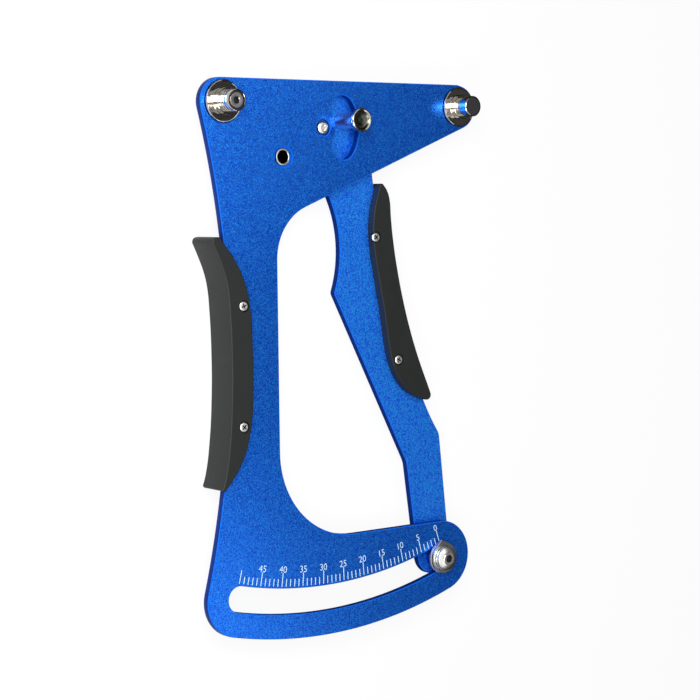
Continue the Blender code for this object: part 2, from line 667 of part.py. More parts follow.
def make_post_screw(name, place, group, cutters, steel):
    """Pan-head screw that holds a post from behind."""
    head_top = PLATE_BACK_Z - THIN_GAP
    head_low = head_top - POST_SCREW_HEAD_HEIGHT
    end = PLATE_FRONT_Z - POST_SEAT_DEPTH + POST_THREAD_DEPTH - THIN_GAP
    rim = POST_SCREW_HEAD_RADIUS * 0.8
    profile = [(0, end), (POST_SCREW_RADIUS, end), (POST_SCREW_RADIUS, head_top),
               (POST_SCREW_HEAD_RADIUS, head_top), (POST_SCREW_HEAD_RADIUS, (head_top + head_low) / 2),
               (rim, head_low), (0, head_low)]
    screw = turned_piece(name, profile, place, group, steel, SMALL_STEPS)
    socket = flat_piece(name + "_socket", [hexagon_outline(place, POST_SCREW_HEAD_RADIUS * 0.9)],
                        head_low - CUT_OVERRUN, head_low + POST_SCREW_HEAD_HEIGHT * 0.6, cutters)
    return cut(screw, socket)


def make_body_stud(group, steel):
    """Hollow stud in the body plate that holds one end of the spring."""
    top = PLATE_FRONT_Z - THIN_GAP
    neck_top = SPRING_Z + WIRE_RADIUS + THIN_GAP
    neck_low = SPRING_Z - WIRE_RADIUS - THIN_GAP
    back = PLATE_BACK_Z - THIN_GAP
    low = neck_low - STUD_TIP_THICKNESS
    profile = [(0, top - STUD_EYE_DEPTH), (STUD_EYE_RADIUS, top - STUD_EYE_DEPTH), (STUD_EYE_RADIUS, top),
               (STUD_RING_RADIUS, top), (STUD_RING_RADIUS, back), (STUD_BODY_RADIUS, back),
               (STUD_BODY_RADIUS, neck_top), (STUD_NECK_RADIUS, neck_top), (STUD_NECK_RADIUS, neck_low),
               (STUD_TIP_RADIUS, neck_low), (STUD_TIP_RADIUS, low), (0, low)]
    return turned_piece("spring_stud_body", profile, BODY_STUD, group, steel, SMALL_STEPS)


# Pieces of the pivot

def make_pivot(group, brass, steel):
    """Pivot screw, the bush and washers that the lever turns on, and the nut."""
    seat = PLATE_FRONT_Z - PIVOT_HEAD_SINK
    top = PLATE_FRONT_Z + PIVOT_HEAD_RISE
    low = NUT_LOW_Z
    bore = PIVOT_SHAFT_RADIUS + FIT_GAP
    screw = turned_piece("pivot_screw", [
        (0, top - PIVOT_HEAD_RISE), (PIVOT_HEAD_RADIUS * 0.35, top - PIVOT_HEAD_RISE),
        (PIVOT_HEAD_RADIUS * 0.45, top), (PIVOT_HEAD_RADIUS * 0.7, top - PIVOT_HEAD_RISE / 4),
        (PIVOT_HEAD_RADIUS, PLATE_FRONT_Z - PIVOT_HEAD_SINK / 3), (PIVOT_HEAD_RADIUS, seat),
        (PIVOT_SHAFT_RADIUS, seat), (PIVOT_SHAFT_RADIUS, low), (0, low)], (0, 0), group, steel, SMALL_STEPS)
    bush = turned_piece("pivot_bush", [
        (bore, LEVER_FRONT_Z), (bore + PIVOT_BUSH_WALL, LEVER_FRONT_Z),
        (bore + PIVOT_BUSH_WALL, LEVER_BACK_Z), (bore, LEVER_BACK_Z)], (0, 0), group, brass, SMALL_STEPS, True)
    washer = turned_piece("pivot_washer", [
        (bore, PLATE_BACK_Z - THIN_GAP), (PIVOT_WASHER_RADIUS, PLATE_BACK_Z - THIN_GAP),
        (PIVOT_WASHER_RADIUS, LEVER_FRONT_Z + THIN_GAP), (bore, LEVER_FRONT_Z + THIN_GAP)],
        (0, 0), group, brass, ROUND_STEPS, True)
    washer_top = LEVER_BACK_Z - THIN_GAP
    washer_low = washer_top - BACK_WASHER_THICKNESS
    back_washer = turned_piece("pivot_back_washer", [
        (bore, washer_top), (BACK_WASHER_RADIUS, washer_top), (BACK_WASHER_RADIUS, washer_low),
        (bore, washer_low)], (0, 0), group, steel, ROUND_STEPS, True)
    nut = make_nut("pivot_nut", (0, 0), SMALL_NUT_FLATS, bore, low + FIT_GAP, washer_low - THIN_GAP, group, steel)
    return screw, bush, washer, back_washer, nut


def make_nut(name, place, flats, bore, low, high, group, steel):
    """A hexagon nut on a screw or a post's tail."""
    return flat_piece(name, [hexagon_outline(place, flats), circle_outline(place, bore)],
                      low, high, group, steel, EDGE_CHAMFER)


# Pieces of the lever

def make_lever_plate(group, blue):
    """Lever plate with its holes."""
    holes = [circle_outline((0, 0), PIVOT_SHAFT_RADIUS + 2 * FIT_GAP + PIVOT_BUSH_WALL),
             circle_outline(MOVING_POST_PLACE, MOVING_TAIL_RADIUS + FIT_GAP),
             circle_outline(LEVER_STUD, STUD_ROOT_RADIUS + FIT_GAP),
             circle_outline(POINTER_PLACE, POINTER_SCREW_RADIUS + FIT_GAP)]
    holes += [circle_outline(place, GRIP_SCREW_RADIUS + FIT_GAP) for place in right_screws()]
    plate = flat_piece("lever_plate", [lever_outline()] + holes, LEVER_BACK_Z, LEVER_FRONT_Z, group, blue,
                       EDGE_CHAMFER)
    return plate


def make_moving_post(group, chrome, steel):
    """Cup-headed post that pushes the spoke, and its nut behind the lever."""
    top = PLATE_FRONT_Z + MOVING_POST_HEIGHT
    head_low = top - MOVING_HEAD_THICKNESS
    shoulder = LEVER_FRONT_Z + THIN_GAP
    cup = MOVING_HEAD_RADIUS - POST_RIM
    profile = [(0, top - MOVING_CUP_DEPTH), (cup * 0.35, top - MOVING_CUP_DEPTH),
               (cup * 0.45, top - MOVING_CUP_DEPTH * 0.75), (cup * 0.72, top - MOVING_CUP_DEPTH * 0.65),
               (cup * 0.82, top - MOVING_CUP_DEPTH * 0.3), (cup, top), (cup + POST_RIM / 2, top),
               (MOVING_HEAD_RADIUS, top - POST_RIM / 2), (MOVING_HEAD_RADIUS, head_low + POST_RIM),
               (MOVING_HEAD_RADIUS - POST_RIM, head_low), (MOVING_SHANK_RADIUS, head_low),
               (MOVING_SHANK_RADIUS, shoulder), (MOVING_TAIL_RADIUS, shoulder),
               (MOVING_TAIL_RADIUS, NUT_LOW_Z), (0, NUT_LOW_Z)]
    post = turned_piece("moving_post", profile, MOVING_POST_PLACE, group, chrome)
    nut = make_nut("moving_post_nut", MOVING_POST_PLACE, SMALL_NUT_FLATS, MOVING_TAIL_RADIUS + FIT_GAP,
                   NUT_LOW_Z + FIT_GAP, LEVER_BACK_Z - THIN_GAP, group, steel)
    return post, nut


def make_lever_stud(group, steel):
    """Stud on the lever's ear that holds the other end of the spring."""
    neck_top = SPRING_Z + WIRE_RADIUS + THIN_GAP
    neck_low = SPRING_Z - WIRE_RADIUS - THIN_GAP
    low = neck_low - STUD_TIP_THICKNESS
    profile = [(0, LEVER_FRONT_Z), (STUD_ROOT_RADIUS, LEVER_FRONT_Z), (STUD_ROOT_RADIUS, neck_top),
               (STUD_NECK_RADIUS, neck_top), (STUD_NECK_RADIUS, neck_low), (STUD_TIP_RADIUS, neck_low),
               (STUD_TIP_RADIUS, low), (0, low)]
    return turned_piece("spring_stud_lever", profile, LEVER_STUD, group, steel, SMALL_STEPS)


def make_pointer_stack(group, cutters, blue, steel, bright):
    """Spacer in the slot, washer, pointer, button-head screw and nut on the lever's end."""
    x, y = POINTER_PLACE
    bore = POINTER_SCREW_RADIUS + FIT_GAP
    spacer_low = LEVER_FRONT_Z + THIN_GAP
    spacer_top = PLATE_FRONT_Z + SPACER_RISE
    spacer = turned_piece("pointer_spacer", [
        (bore, spacer_top), (SPACER_RADIUS, spacer_top), (SPACER_RADIUS, spacer_low), (bore, spacer_low)],
        POINTER_PLACE, group, blue, SMALL_STEPS, True)
    washer_low = spacer_top + THIN_GAP
    washer_top = washer_low + POINTER_WASHER_THICKNESS
    washer = turned_piece("pointer_washer", [
        (bore, washer_top), (POINTER_WASHER_RADIUS, washer_top), (POINTER_WASHER_RADIUS, washer_low),
        (bore, washer_low)], POINTER_PLACE, group, steel, ROUND_STEPS, True)
    pointer_low = washer_top + THIN_GAP
    pointer_top = pointer_low + POINTER_THICKNESS
    up = radians(REST_ANGLE + 90 - POINTER_LEAN)
    tip_reach = POINTER_REACH - POINTER_TIP_RADIUS
    tip = (x + tip_reach * cos(up), y + tip_reach * sin(up))
    outline = belt([(POINTER_PLACE, POINTER_RADIUS, 1), (tip, POINTER_TIP_RADIUS, 1)])
    pointer = flat_piece("pointer", [outline, circle_outline(POINTER_PLACE, bore)],
                         pointer_low, pointer_top, group, bright)
    head_low = pointer_top + THIN_GAP
    head_top = head_low + POINTER_HEAD_HEIGHT
    dome = [(POINTER_HEAD_RADIUS * share, head_low + POINTER_HEAD_HEIGHT * sqrt(1 - (share * 0.86) ** 2))
            for share in (0.55, 0.7, 0.82, 0.92, 1.0)]
    low = NUT_LOW_Z
    screw = turned_piece("pointer_screw", [(0, head_top)] + dome + [
        (POINTER_HEAD_RADIUS, head_low), (POINTER_SCREW_RADIUS, head_low), (POINTER_SCREW_RADIUS, low), (0, low)],
        POINTER_PLACE, group, bright)
    socket = flat_piece("pointer_socket", [hexagon_outline(POINTER_PLACE, POINTER_SOCKET_FLATS)],
                        head_top - POINTER_SOCKET_DEPTH, head_top + CUT_OVERRUN, cutters)
    cut(screw, socket)
    nut = make_nut("pointer_nut", POINTER_PLACE, POINTER_NUT_FLATS, bore, low + FIT_GAP,
                   LEVER_BACK_Z - THIN_GAP, group, steel)
    return spacer, washer, pointer, screw, nut


# Return spring

def spring_path():
    """Centre line of the coil spring, with a hook round each stud."""
    length = hypot(LEVER_STUD[0] - BODY_STUD[0], LEVER_STUD[1] - BODY_STUD[1])
    hook_radius = STUD_NECK_RADIUS + FIT_GAP + WIRE_RADIUS
    coil_length = COIL_TURNS * COIL_PITCH
    first = length / 2 - coil_length / 2
    points = []
    opening = radians(HOOK_OPEN_ANGLE)
    steps = 12
    lead = 2 * WIRE_RADIUS
    start = (hook_radius * cos(opening), -hook_radius * sin(opening))
    points.append((start[0] + lead * sin(opening), start[1] + lead * cos(opening), 0))
    for i in range(steps + 1):
        angle = -opening - (3 * pi / 2 - opening) * i / steps
        points.append((hook_radius * cos(angle), hook_radius * sin(angle), 0))
    entry = hermite((0, hook_radius, 0), (first * 0.8, 0, 0), (first, COIL_RADIUS, 0),
                    (COIL_PITCH, 0, COIL_RADIUS * 3), 6)
    points += entry[1:-1]
    turns = COIL_TURNS * CURL_POINTS
    for i in range(turns + 1):
        angle = 2 * pi * i / CURL_POINTS
        points.append((first + coil_length * i / turns, COIL_RADIUS * cos(angle), COIL_RADIUS * sin(angle)))
    last = first + coil_length
    leave = hermite((last, COIL_RADIUS, 0), (COIL_PITCH, 0, COIL_RADIUS * 3), (length, hook_radius, 0),
                    ((length - last) * 0.8, 0, 0), 6)
    points += leave[1:-1]
    for i in range(steps + 1):
        angle = pi / 2 - (3 * pi / 2 - opening) * i / steps
        points.append((length + hook_radius * cos(angle), hook_radius * sin(angle), 0))
    end = (length - hook_radius * cos(opening), -hook_radius * sin(opening))
    points.append((end[0] - lead * sin(opening), end[1] + lead * cos(opening), 0))
    along = ((LEVER_STUD[0] - BODY_STUD[0]) / length, (LEVER_STUD[1] - BODY_STUD[1]) / length)
    return [(BODY_STUD[0] + u * along[0] - w * along[1], BODY_STUD[1] + u * along[1] + w * along[0],
             SPRING_Z + z) for u, w, z in points]


def hermite(first, first_slope, last, last_slope, steps):
    """Smooth bridge between two places with given slopes."""
    points = []
    for i in range(steps + 1):
        t = i / steps
        a = 2 * t ** 3 - 3 * t ** 2 + 1
        b = t ** 3 - 2 * t ** 2 + t
        c = 3 * t ** 2 - 2 * t ** 3
        d = t ** 3 - t ** 2
        points.append(tuple(a * p + b * m + c * q + d * n
                            for p, m, q, n in zip(first, first_slope, last, last_slope)))
    return points


def least_gap(path, radius):
    """Least clear distance of a tube to itself, past its own neighbouring stretch."""
    dense = []
    for a, b in zip(path[:-1], path[1:]):
        dense += [np.array(a) + (np.array(b) - np.array(a)) * k / 4 for k in range(4)]
    dense = np.array(dense)
    run = np.concatenate([[0], np.cumsum(np.linalg.norm(np.diff(dense, axis=0), axis=1))])
    apart = np.linalg.norm(dense[:, None] - dense[None], axis=2)
    far = np.abs(run[:, None] - run[None]) > 6 * radius
    return float(apart[far].min() - 2 * radius)


def make_spring(group, steel):
    """Coil spring as one unbroken tube."""
    path = spring_path()
    curve = bpy.data.curves.new("return_spring", "CURVE")
    curve.dimensions = "3D"
    curve.bevel_depth = WIRE_RADIUS
    curve.bevel_resolution = 1
    curve.use_fill_caps = True
    spline = curve.splines.new("POLY")
    spline.points.add(len(path) - 1)
    for point, place in zip(spline.points, path):
        point.co = (*place, 1)
    print("return spring: least gap to itself %.2f mm" % (least_gap(path, WIRE_RADIUS) * 1000))
    return to_mesh(new_object("return_spring_path", curve, group), "return_spring", group, steel)


# Grips

def edge_side(centre, radius, low_y, high_y, side):
    """Area on the plate's side of a long curved edge, as an outline."""
    reach = 6 * GRIP_WIDTH
    ends = [asin((y - centre[1]) / radius) for y in (low_y, high_y)]
    if side < 0:
        ends = [pi - angle for angle in ends]
    edge = arc_points(centre, radius, ends[0], ends[1] - ends[0])
    return edge + [(edge[-1][0] + side * reach, edge[-1][1]), (edge[0][0] + side * reach, edge[0][1])]


def make_grip(name, outline, screws, bed_centre, bed_radius, side, levels, group, cutters, dark):
    """Front shell that wraps the plate's edge, and plain back shell, of one grip."""
    back_z, split_z, face_z, top_z = levels
    front = flat_piece(name + "_front", [outline], split_z, top_z, group, dark)
    break_rim(front, GRIP_RIM, True)
    low_y = min(y for x, y in outline) - CUT_OVERRUN
    high_y = max(y for x, y in outline) + CUT_OVERRUN
    bed = edge_side(bed_centre, bed_radius, low_y, high_y, side)
    cut(front, flat_piece(name + "_bed", [bed], split_z - CUT_OVERRUN, face_z + THIN_GAP, cutters))
    back = flat_piece(name + "_back", [outline], back_z, split_z - FIT_GAP, group, dark)
    break_rim(back, GRIP_BACK_RIM, False)
    for number, place in enumerate(screws):
        seat_z = top_z - GRIP_SCREW_HEAD_HEIGHT - GRIP_SCREW_SINK - FIT_GAP
        seat = circle_outline(place, GRIP_SCREW_HEAD_RADIUS + FIT_GAP)
        hole = circle_outline(place, GRIP_SCREW_RADIUS + FIT_GAP)
        tag = "%s_%d" % (name, number)
        cut(front, flat_piece(tag + "_seat", [seat], seat_z, top_z + CUT_OVERRUN, cutters))
        bore = flat_piece(tag + "_bore", [hole], split_z - GRIP_SCREW_BITE - 2 * FIT_GAP,
                          top_z + CUT_OVERRUN, cutters)
        cut(front, bore)
        cut(back, bore)
    return front, back


def make_grip_screw(name, place, turn, top_z, split_z, group, cutters, steel):
    """Cross-recessed pan-head screw of a grip."""
    top = top_z - GRIP_SCREW_SINK
    low = top - GRIP_SCREW_HEAD_HEIGHT
    end = split_z - GRIP_SCREW_BITE
    radius = GRIP_SCREW_HEAD_RADIUS
    profile = [(0, top), (radius * 0.7, top), (radius * 0.93, top - GRIP_SCREW_HEAD_HEIGHT * 0.25),
               (radius, top - GRIP_SCREW_HEAD_HEIGHT * 0.55), (radius, low), (GRIP_SCREW_RADIUS, low),
               (GRIP_SCREW_RADIUS, end), (0, end)]
    screw = turned_piece(name, profile, place, group, steel, SMALL_STEPS)
    half, wide = CROSS_LENGTH / 2, CROSS_WIDTH / 2
    cross = []
    for quarter in range(4):
        angle = radians(turn) + quarter * pi / 2
        for along, across in ((half, -wide), (half, wide), (wide, wide)):
            cross.append((place[0] + along * cos(angle) - across * sin(angle),
                          place[1] + along * sin(angle) + across * cos(angle)))
    return cut(screw, flat_piece(name + "_cross", [cross], top - CROSS_DEPTH, top + CUT_OVERRUN, cutters))


def left_grip_outline():
    """Outline of the grip on the body plate's back edge."""
    return grip_outline(left_grip_frame(), LEFT_GRIP_INNER_SHARES, LEFT_GRIP_PALM_SHARES,
                        LEFT_GRIP_CORNER_RADII)


def right_grip_outline():
    """Outline of the grip on the lever's outer edge."""
    return grip_outline(right_grip_frame(), RIGHT_GRIP_INNER_SHARES, RIGHT_GRIP_PALM_SHARES,
                        RIGHT_GRIP_CORNER_RADII)


def left_screws():
    """Places of the left grip's screws."""
    return [on_grip(left_grip_frame(), share) for share in LEFT_SCREW_SHARES]


def right_screws():
    """Places of the right grip's screws."""
    return [on_grip(right_grip_frame(), share) for share in RIGHT_SCREW_SHARES]


def main():
    clear_scene()
    group = new_collection("spoke_tension_meter")
    cutters = new_collection("cutters")
    blue = make_material("anodised_blue", (0.012, 0.12, 0.62), 0.38, 0.85)
    chrome = make_material("polished_chrome", (0.78, 0.76, 0.72), 0.12, 1.0)
    steel = make_material("zinc_steel", (0.62, 0.61, 0.58), 0.3, 1.0)
    bright = make_material("stainless_steel", (0.75, 0.72, 0.66), 0.2, 1.0)
    brass = make_material("bearing_polymer", (0.75, 0.73, 0.66), 0.5, 0.0)
    spring_steel = make_material("spring_steel", (0.45, 0.45, 0.46), 0.35, 1.0)
    rubber = make_material("black_disc", (0.025, 0.025, 0.026), 0.6, 0.0)
    dark = make_material("grip_plastic", (0.03, 0.031, 0.031), 0.55, 0.0)

    body = [make_body_plate(group, cutters, blue), make_left_post(group, chrome),
            make_right_post(group, chrome), make_right_post_cap(group, rubber),
            make_post_screw("left_post_screw", (LEFT_POST_X, POST_Y), group, cutters, steel),
            make_post_screw("right_post_screw", (RIGHT_POST_X, POST_Y), group, cutters, steel),
            make_body_stud(group, bright)]
    screw, bush, washer, back_washer, nut = make_pivot(group, brass, steel)
    body += [screw, washer, back_washer, nut]
    moving = [make_lever_plate(group, blue), bush, *make_moving_post(group, chrome, steel),
              make_lever_stud(group, steel), *make_pointer_stack(group, cutters, blue, steel, bright)]
    body.append(make_spring(group, spring_steel))

    body += make_grip("left_grip", left_grip_outline(), left_screws(), BACK_EDGE_CENTRE,
                      BACK_EDGE_RADIUS - FIT_GAP, 1,
                      (0, PLATE_BACK_Z, PLATE_FRONT_Z, LEFT_GRIP_TOP_Z), group, cutters, dark)
    moving += make_grip("right_grip", right_grip_outline(), right_screws(), lever_edge_centre(),
                        LEVER_EDGE_RADIUS - FIT_GAP, -1,
                        (0, LEVER_BACK_Z, LEVER_FRONT_Z, RIGHT_GRIP_TOP_Z), group, cutters, dark)
    for names, places, turns, top_z, split_z, pieces in (
            (("left_grip_screw_upper", "left_grip_screw_lower"), left_screws(), LEFT_CROSS_TURNS,
             LEFT_GRIP_TOP_Z, PLATE_BACK_Z, body),
            (("right_grip_screw_upper", "right_grip_screw_lower"), right_screws(), RIGHT_CROSS_TURNS,
             RIGHT_GRIP_TOP_Z, LEVER_BACK_Z, moving)):
        for name, place, turn in zip(names, places, turns):
            pieces.append(make_grip_screw(name, place, turn, top_z, split_z, group, cutters, steel))

    frame = bpy.data.objects.new("frame_place", None)
    hinge = bpy.data.objects.new("lever_hinge", None)
    for empty in (frame, hinge):
        group.objects.link(empty)
    bpy.context.view_layer.update()
    carry(body + list(cutters.objects), frame)
    carry(moving, hinge)
    left_end = foot_corner()[0] - FOOT_CORNER_RADIUS
    right_end = RIGHT_POST_X + HEAD_END_RADIUS
    for empty in (frame, hinge):
        empty.location = (-(left_end + right_end) / 2, -(HEAD_TOP_Y - ARM_OUTER_RADIUS) / 2, 0)
    bpy.context.view_layer.update()
    print("pivot at (%.6f, %.6f)" % (hinge.location.x, hinge.location.y))


main()
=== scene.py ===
"""Finish and surroundings of the spoke tension meter.

The plates, grips, posts, pointer and screws are rebuilt here with their fine
edges and their printed scale, and every piece gets its material. Shapes are
drawn in millimetres about the lever's pivot, with +X towards the right-hand
post and +Y towards the posts, and take their place in metres at the end.
"""

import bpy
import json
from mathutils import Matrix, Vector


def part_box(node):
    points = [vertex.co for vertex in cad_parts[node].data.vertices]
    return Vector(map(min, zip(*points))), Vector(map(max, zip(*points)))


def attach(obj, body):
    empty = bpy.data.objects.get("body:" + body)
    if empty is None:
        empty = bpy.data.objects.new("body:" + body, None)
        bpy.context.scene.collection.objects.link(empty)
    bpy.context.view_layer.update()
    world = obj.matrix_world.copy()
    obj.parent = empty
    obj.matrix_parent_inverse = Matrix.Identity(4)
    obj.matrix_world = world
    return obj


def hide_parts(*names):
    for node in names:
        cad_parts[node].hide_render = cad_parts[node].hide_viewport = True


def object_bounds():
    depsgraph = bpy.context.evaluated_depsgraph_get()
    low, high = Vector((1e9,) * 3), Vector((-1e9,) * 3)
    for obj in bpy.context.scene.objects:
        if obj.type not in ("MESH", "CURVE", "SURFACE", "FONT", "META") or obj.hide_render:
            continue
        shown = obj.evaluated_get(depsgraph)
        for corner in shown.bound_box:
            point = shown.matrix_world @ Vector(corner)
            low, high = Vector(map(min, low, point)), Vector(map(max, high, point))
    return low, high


bl_info = {
    "name": "Spoke Tension Meter",
    "version": (1, 0, 0),
    "blender": (4, 5, 0),
    "location": "View3D > Sidebar > Tension Meter",
    "description": "Plates, grips, posts, pointer, printed scale and finishes of a spoke tension meter",
    "category": "Object",
}

import json
from math import asin, atan2, ceil, cos, degrees, hypot, pi, radians, sin, sqrt, tan

import bmesh
import bpy
from bpy.props import FloatProperty, FloatVectorProperty, IntProperty, PointerProperty
from mathutils import Matrix, Vector

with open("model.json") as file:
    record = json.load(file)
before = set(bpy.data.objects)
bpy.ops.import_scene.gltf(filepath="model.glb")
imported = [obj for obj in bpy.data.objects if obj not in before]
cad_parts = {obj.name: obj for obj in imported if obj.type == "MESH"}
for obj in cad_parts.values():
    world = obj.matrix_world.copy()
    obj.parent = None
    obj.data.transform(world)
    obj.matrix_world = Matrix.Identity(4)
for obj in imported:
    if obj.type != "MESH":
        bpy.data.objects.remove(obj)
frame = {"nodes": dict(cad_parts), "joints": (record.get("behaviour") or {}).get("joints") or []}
CAD_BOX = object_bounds()

# A millimetre in metres, and how near to each other, in millimetres, two points merge
MM = 0.001
MERGE = 0.0005
# Where the middle of a quarter round lies, as a share of its radius from either side
ROUND_SHARE = 0.29
# Longest steps of an arc, in degrees and in length, and the tallest step of a wall that is still rim
ARC_STEP_ANGLE = 5
ARC_STEP_LENGTH = 2.5
RIM_LIMIT = 0.35
PIVOT = Vector((*frame["joints"][0]["pos_m"][:2], 0))


def levels(node):
    """Lowest and highest level of a node, in millimetres."""
    low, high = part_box(node)
    return low.z / MM, high.z / MM


PLATE_LOW, PLATE_HIGH = levels("body_plate")
LEVER_LOW, LEVER_HIGH = levels("lever_plate")

# Body plate
BACK_EDGE = ((-393.54, -81.6), 350.0)
ARM_OUTER_RADIUS = 192.6
ARM_TOP_Y = -155.2
ARM_TIP_RADIUS = 14.15
FOOT_RADIUS = 14.0
HEAD_RISE = 8.7
LEFT_CORNER_RADIUS = 8.9
RIGHT_CORNER_RADIUS = 2.0
RIGHT_END_RADIUS = 8.5
COLUMN_INNER_X = -22.0
LOW_BEND_RADIUS = 34.4
HIGH_BEND_RADIUS = 20.8
HIGH_BEND_Y = -49.0
LEFT_POST = (-45.3, 8.9)
RIGHT_POST = (66.6, 8.9)
SPRING_STUD = (-18.7, -11.0)
SLOT_RADIUS = 178.4
SLOT_HALF_WIDTH = 4.9
REST_ANGLE = 18.15
SWING_ANGLE = 31.5
KIDNEY_RADIUS = 11.35
KIDNEY_HALF_WIDTH = 5.55
KIDNEY_ANGLES = (-34.4, 35.8)

# Lever
LEVER_STUD = (-13.3, 7.1)
LEVER_EDGE_RADIUS = 350.0
LEVER_EDGE_TOP = (0.1471 * SLOT_RADIUS, -0.1029 * SLOT_RADIUS)
LEVER_EDGE_LOW = (0.2859 * SLOT_RADIUS, -0.5998 * SLOT_RADIUS)
LEVER_HEEL = (0.2360 * SLOT_RADIUS, -0.7332 * SLOT_RADIUS)
LEVER_END = (0.3117 * SLOT_RADIUS, -0.9445 * SLOT_RADIUS)
LEVER_END_RADIUS = 8.2
HEEL_RADIUS = 9.0
SHOULDER_RADIUS = 12.2
SHOULDER_Y = 2.6
EAR_RADIUS = 3.9
CROWN_RADIUS = 12.7
WAIST_RADIUS, WAIST_ANGLE = 45.9, -127.65
NOSE_RADIUS, NOSE_ANGLE = 2.0, -19.6
FLARE_RADIUS, FLARE_ANGLE = 102.0, -157.8
ELBOW_RADIUS, ELBOW_ANGLE = 6.1, -146.6
MOVING_POST = (KIDNEY_RADIUS * cos(radians(13.8)), KIDNEY_RADIUS * sin(radians(13.8)))
POINTER = (SLOT_RADIUS * sin(radians(REST_ANGLE)), -SLOT_RADIUS * cos(radians(REST_ANGLE)))

# Posts and screws
POST_TOP = PLATE_HIGH + 9.2
POST_STEP_TOP = PLATE_HIGH + 3.4
MOVING_POST_TOP = PLATE_HIGH + 9.7
POST_RADIUS = 4.0
FLANGE_SEAT_RADIUS = 8.0
SCREW_HEAD_RADIUS = 4.8
# Nodes that keep their solids and are zinc plated
ZINC_NODES = ("left_post_screw", "right_post_screw", "moving_post_nut", "pivot_nut", "pointer_nut",
              "spring_stud_lever", "pivot_back_washer")

# Grips, in shares of the arm's radius and the lever's edge, then of a half length and a width
LEFT_GRIP_DOWN, LEFT_GRIP_HALF = -0.4502, 0.2409
RIGHT_GRIP_DOWN, RIGHT_GRIP_HALF = 0.5074, 0.4791
GRIP_WIDTH = 10.2
GRIP_POINT_GAP = 0.09
BED_LAP = 0.3
SCREW_SEAT_RADIUS = 2.2
SCREW_SEAT_DEPTH = 1.8
LEFT_INNER = ((-1.014, -0.62), (-0.945, -0.38), (-0.82, 0.045), (-0.70, 0.345), (-0.57, 0.55),
              (-0.44, 0.66), (-0.36, 0.705), (-0.19, 0.727), (0.0, 0.75), (0.25, 0.725),
              (0.38, 0.698), (0.505, 0.615), (0.63, 0.48), (0.72, 0.33), (0.87, -0.09), (0.95, -0.40))
LEFT_TIP = (1.040, -0.790)
LEFT_PALM = ((0.87, -0.53), (0.60, -0.335), (0.25, -0.22), (-0.10, -0.20),
             (-0.42, -0.255), (-0.60, -0.33), (-0.72, -0.46), (-0.86, -0.72), (-0.998, -1.02))
LEFT_SCREWS = ((-0.463, 0.37), (0.491, 0.31))
RIGHT_INNER = ((-1.011, -0.07), (-0.925, 0.15), (-0.833, 0.41), (-0.736, 0.615), (-0.60, 0.815),
               (-0.456, 0.935), (-0.18, 1.043), (0.10, 1.135), (0.30, 1.235), (0.44, 1.29),
               (0.56, 1.295), (0.70, 1.19), (0.82, 0.97), (0.935, 0.51))
RIGHT_TIP = (1.048, -0.204)
RIGHT_PALM = ((0.873, -0.108), (0.714, -0.011), (0.556, 0.067), (0.326, 0.132),
              (0.101, 0.144), (-0.191, 0.093), (-0.477, -0.029), (-0.686, -0.176),
              (-0.823, -0.295), (-0.915, -0.275), (-0.977, -0.166))
RIGHT_SCREWS = ((-0.559, 0.72), (0.553, 0.975))

# Printed scale, about the pivot; angles in degrees from straight down
SCALE_ZERO_ANGLE = 18.66
SCALE_DIVISION = 0.651
SCALE_COUNT = 50
TICK_FOOT = 172.7
LONG_TICK_TOP = 167.6
SHORT_TICK_TOP = 169.9
NUMBER_FOOT = 167.5
NUMBER_ASIDE = -0.1
NUMBER_OFFSET = -0.02
PRINT_LIFT = 0.012
PRINT_THICKNESS = 0.02

# Camera: ways to its right and ahead, its place from the plate's front over the pivot, and its lens
CAMERA_RIGHT = (0.7908, -0.0114, 0.6119)
CAMERA_AHEAD = (0.6094, -0.0777, -0.7890)
CAMERA_PLACE = (-0.4327, -0.0260, 0.5746)
CAMERA_REACH = 1.02
CAMERA_LEVEL = 0.0102
CAMERA_LENS = 100.1


# Sizes and colours that a user would change

class MeterSizes(bpy.types.PropertyGroup):
    plate_rim: FloatProperty(name="Plate rim", description="Width of the broken edge of both plates",
                             default=0.0003, min=0.00005, max=0.00035, precision=5, unit="LENGTH")
    grip_rim: FloatProperty(name="Grip rim", description="Rounding of the grips' front edges",
                            default=0.00055, min=0.0001, max=0.00055, precision=5, unit="LENGTH")
    grip_back_rim: FloatProperty(name="Grip back rim", description="Rounding of the grips' back edges",
                                 default=0.00065, min=0.0001, max=0.00065, precision=5, unit="LENGTH")
    number_height: FloatProperty(name="Number height", description="Size of the scale's numbers",
                                 default=0.0036, min=0.001, max=0.01, precision=5, unit="LENGTH")
    tick_width: FloatProperty(name="Tick width", description="Width of the scale's marks",
                              default=0.00034, min=0.0001, max=0.001, precision=5, unit="LENGTH")
    round_steps: IntProperty(name="Round steps", description="Steps round a turned piece",
                             default=96, min=24, max=256)


class MeterColours(bpy.types.PropertyGroup):
    blue: FloatVectorProperty(name="Blue", description="Anodised blue of the plates", subtype="COLOR",
                              size=3, min=0, max=1, default=(0.016, 0.24, 1.0))
    deep_blue: FloatVectorProperty(name="Deep blue", description="Dark grains in the blue", subtype="COLOR",
                                   size=3, min=0, max=1, default=(0.002, 0.055, 0.58))
    grip: FloatVectorProperty(name="Grip", description="Dark plastic of the grips", subtype="COLOR",
                              size=3, min=0, max=1, default=(0.012, 0.0135, 0.013))
    print_white: FloatVectorProperty(name="Print", description="Marks of the scale", subtype="COLOR",
                                     size=3, min=0, max=1, default=(0.62, 0.84, 1.0))
    chrome: FloatVectorProperty(name="Chrome", description="Polished posts", subtype="COLOR",
                                size=3, min=0, max=1, default=(0.50, 0.475, 0.43))
    steel: FloatVectorProperty(name="Steel", description="Screws, nuts and washers", subtype="COLOR",
                               size=3, min=0, max=1, default=(0.66, 0.65, 0.62))


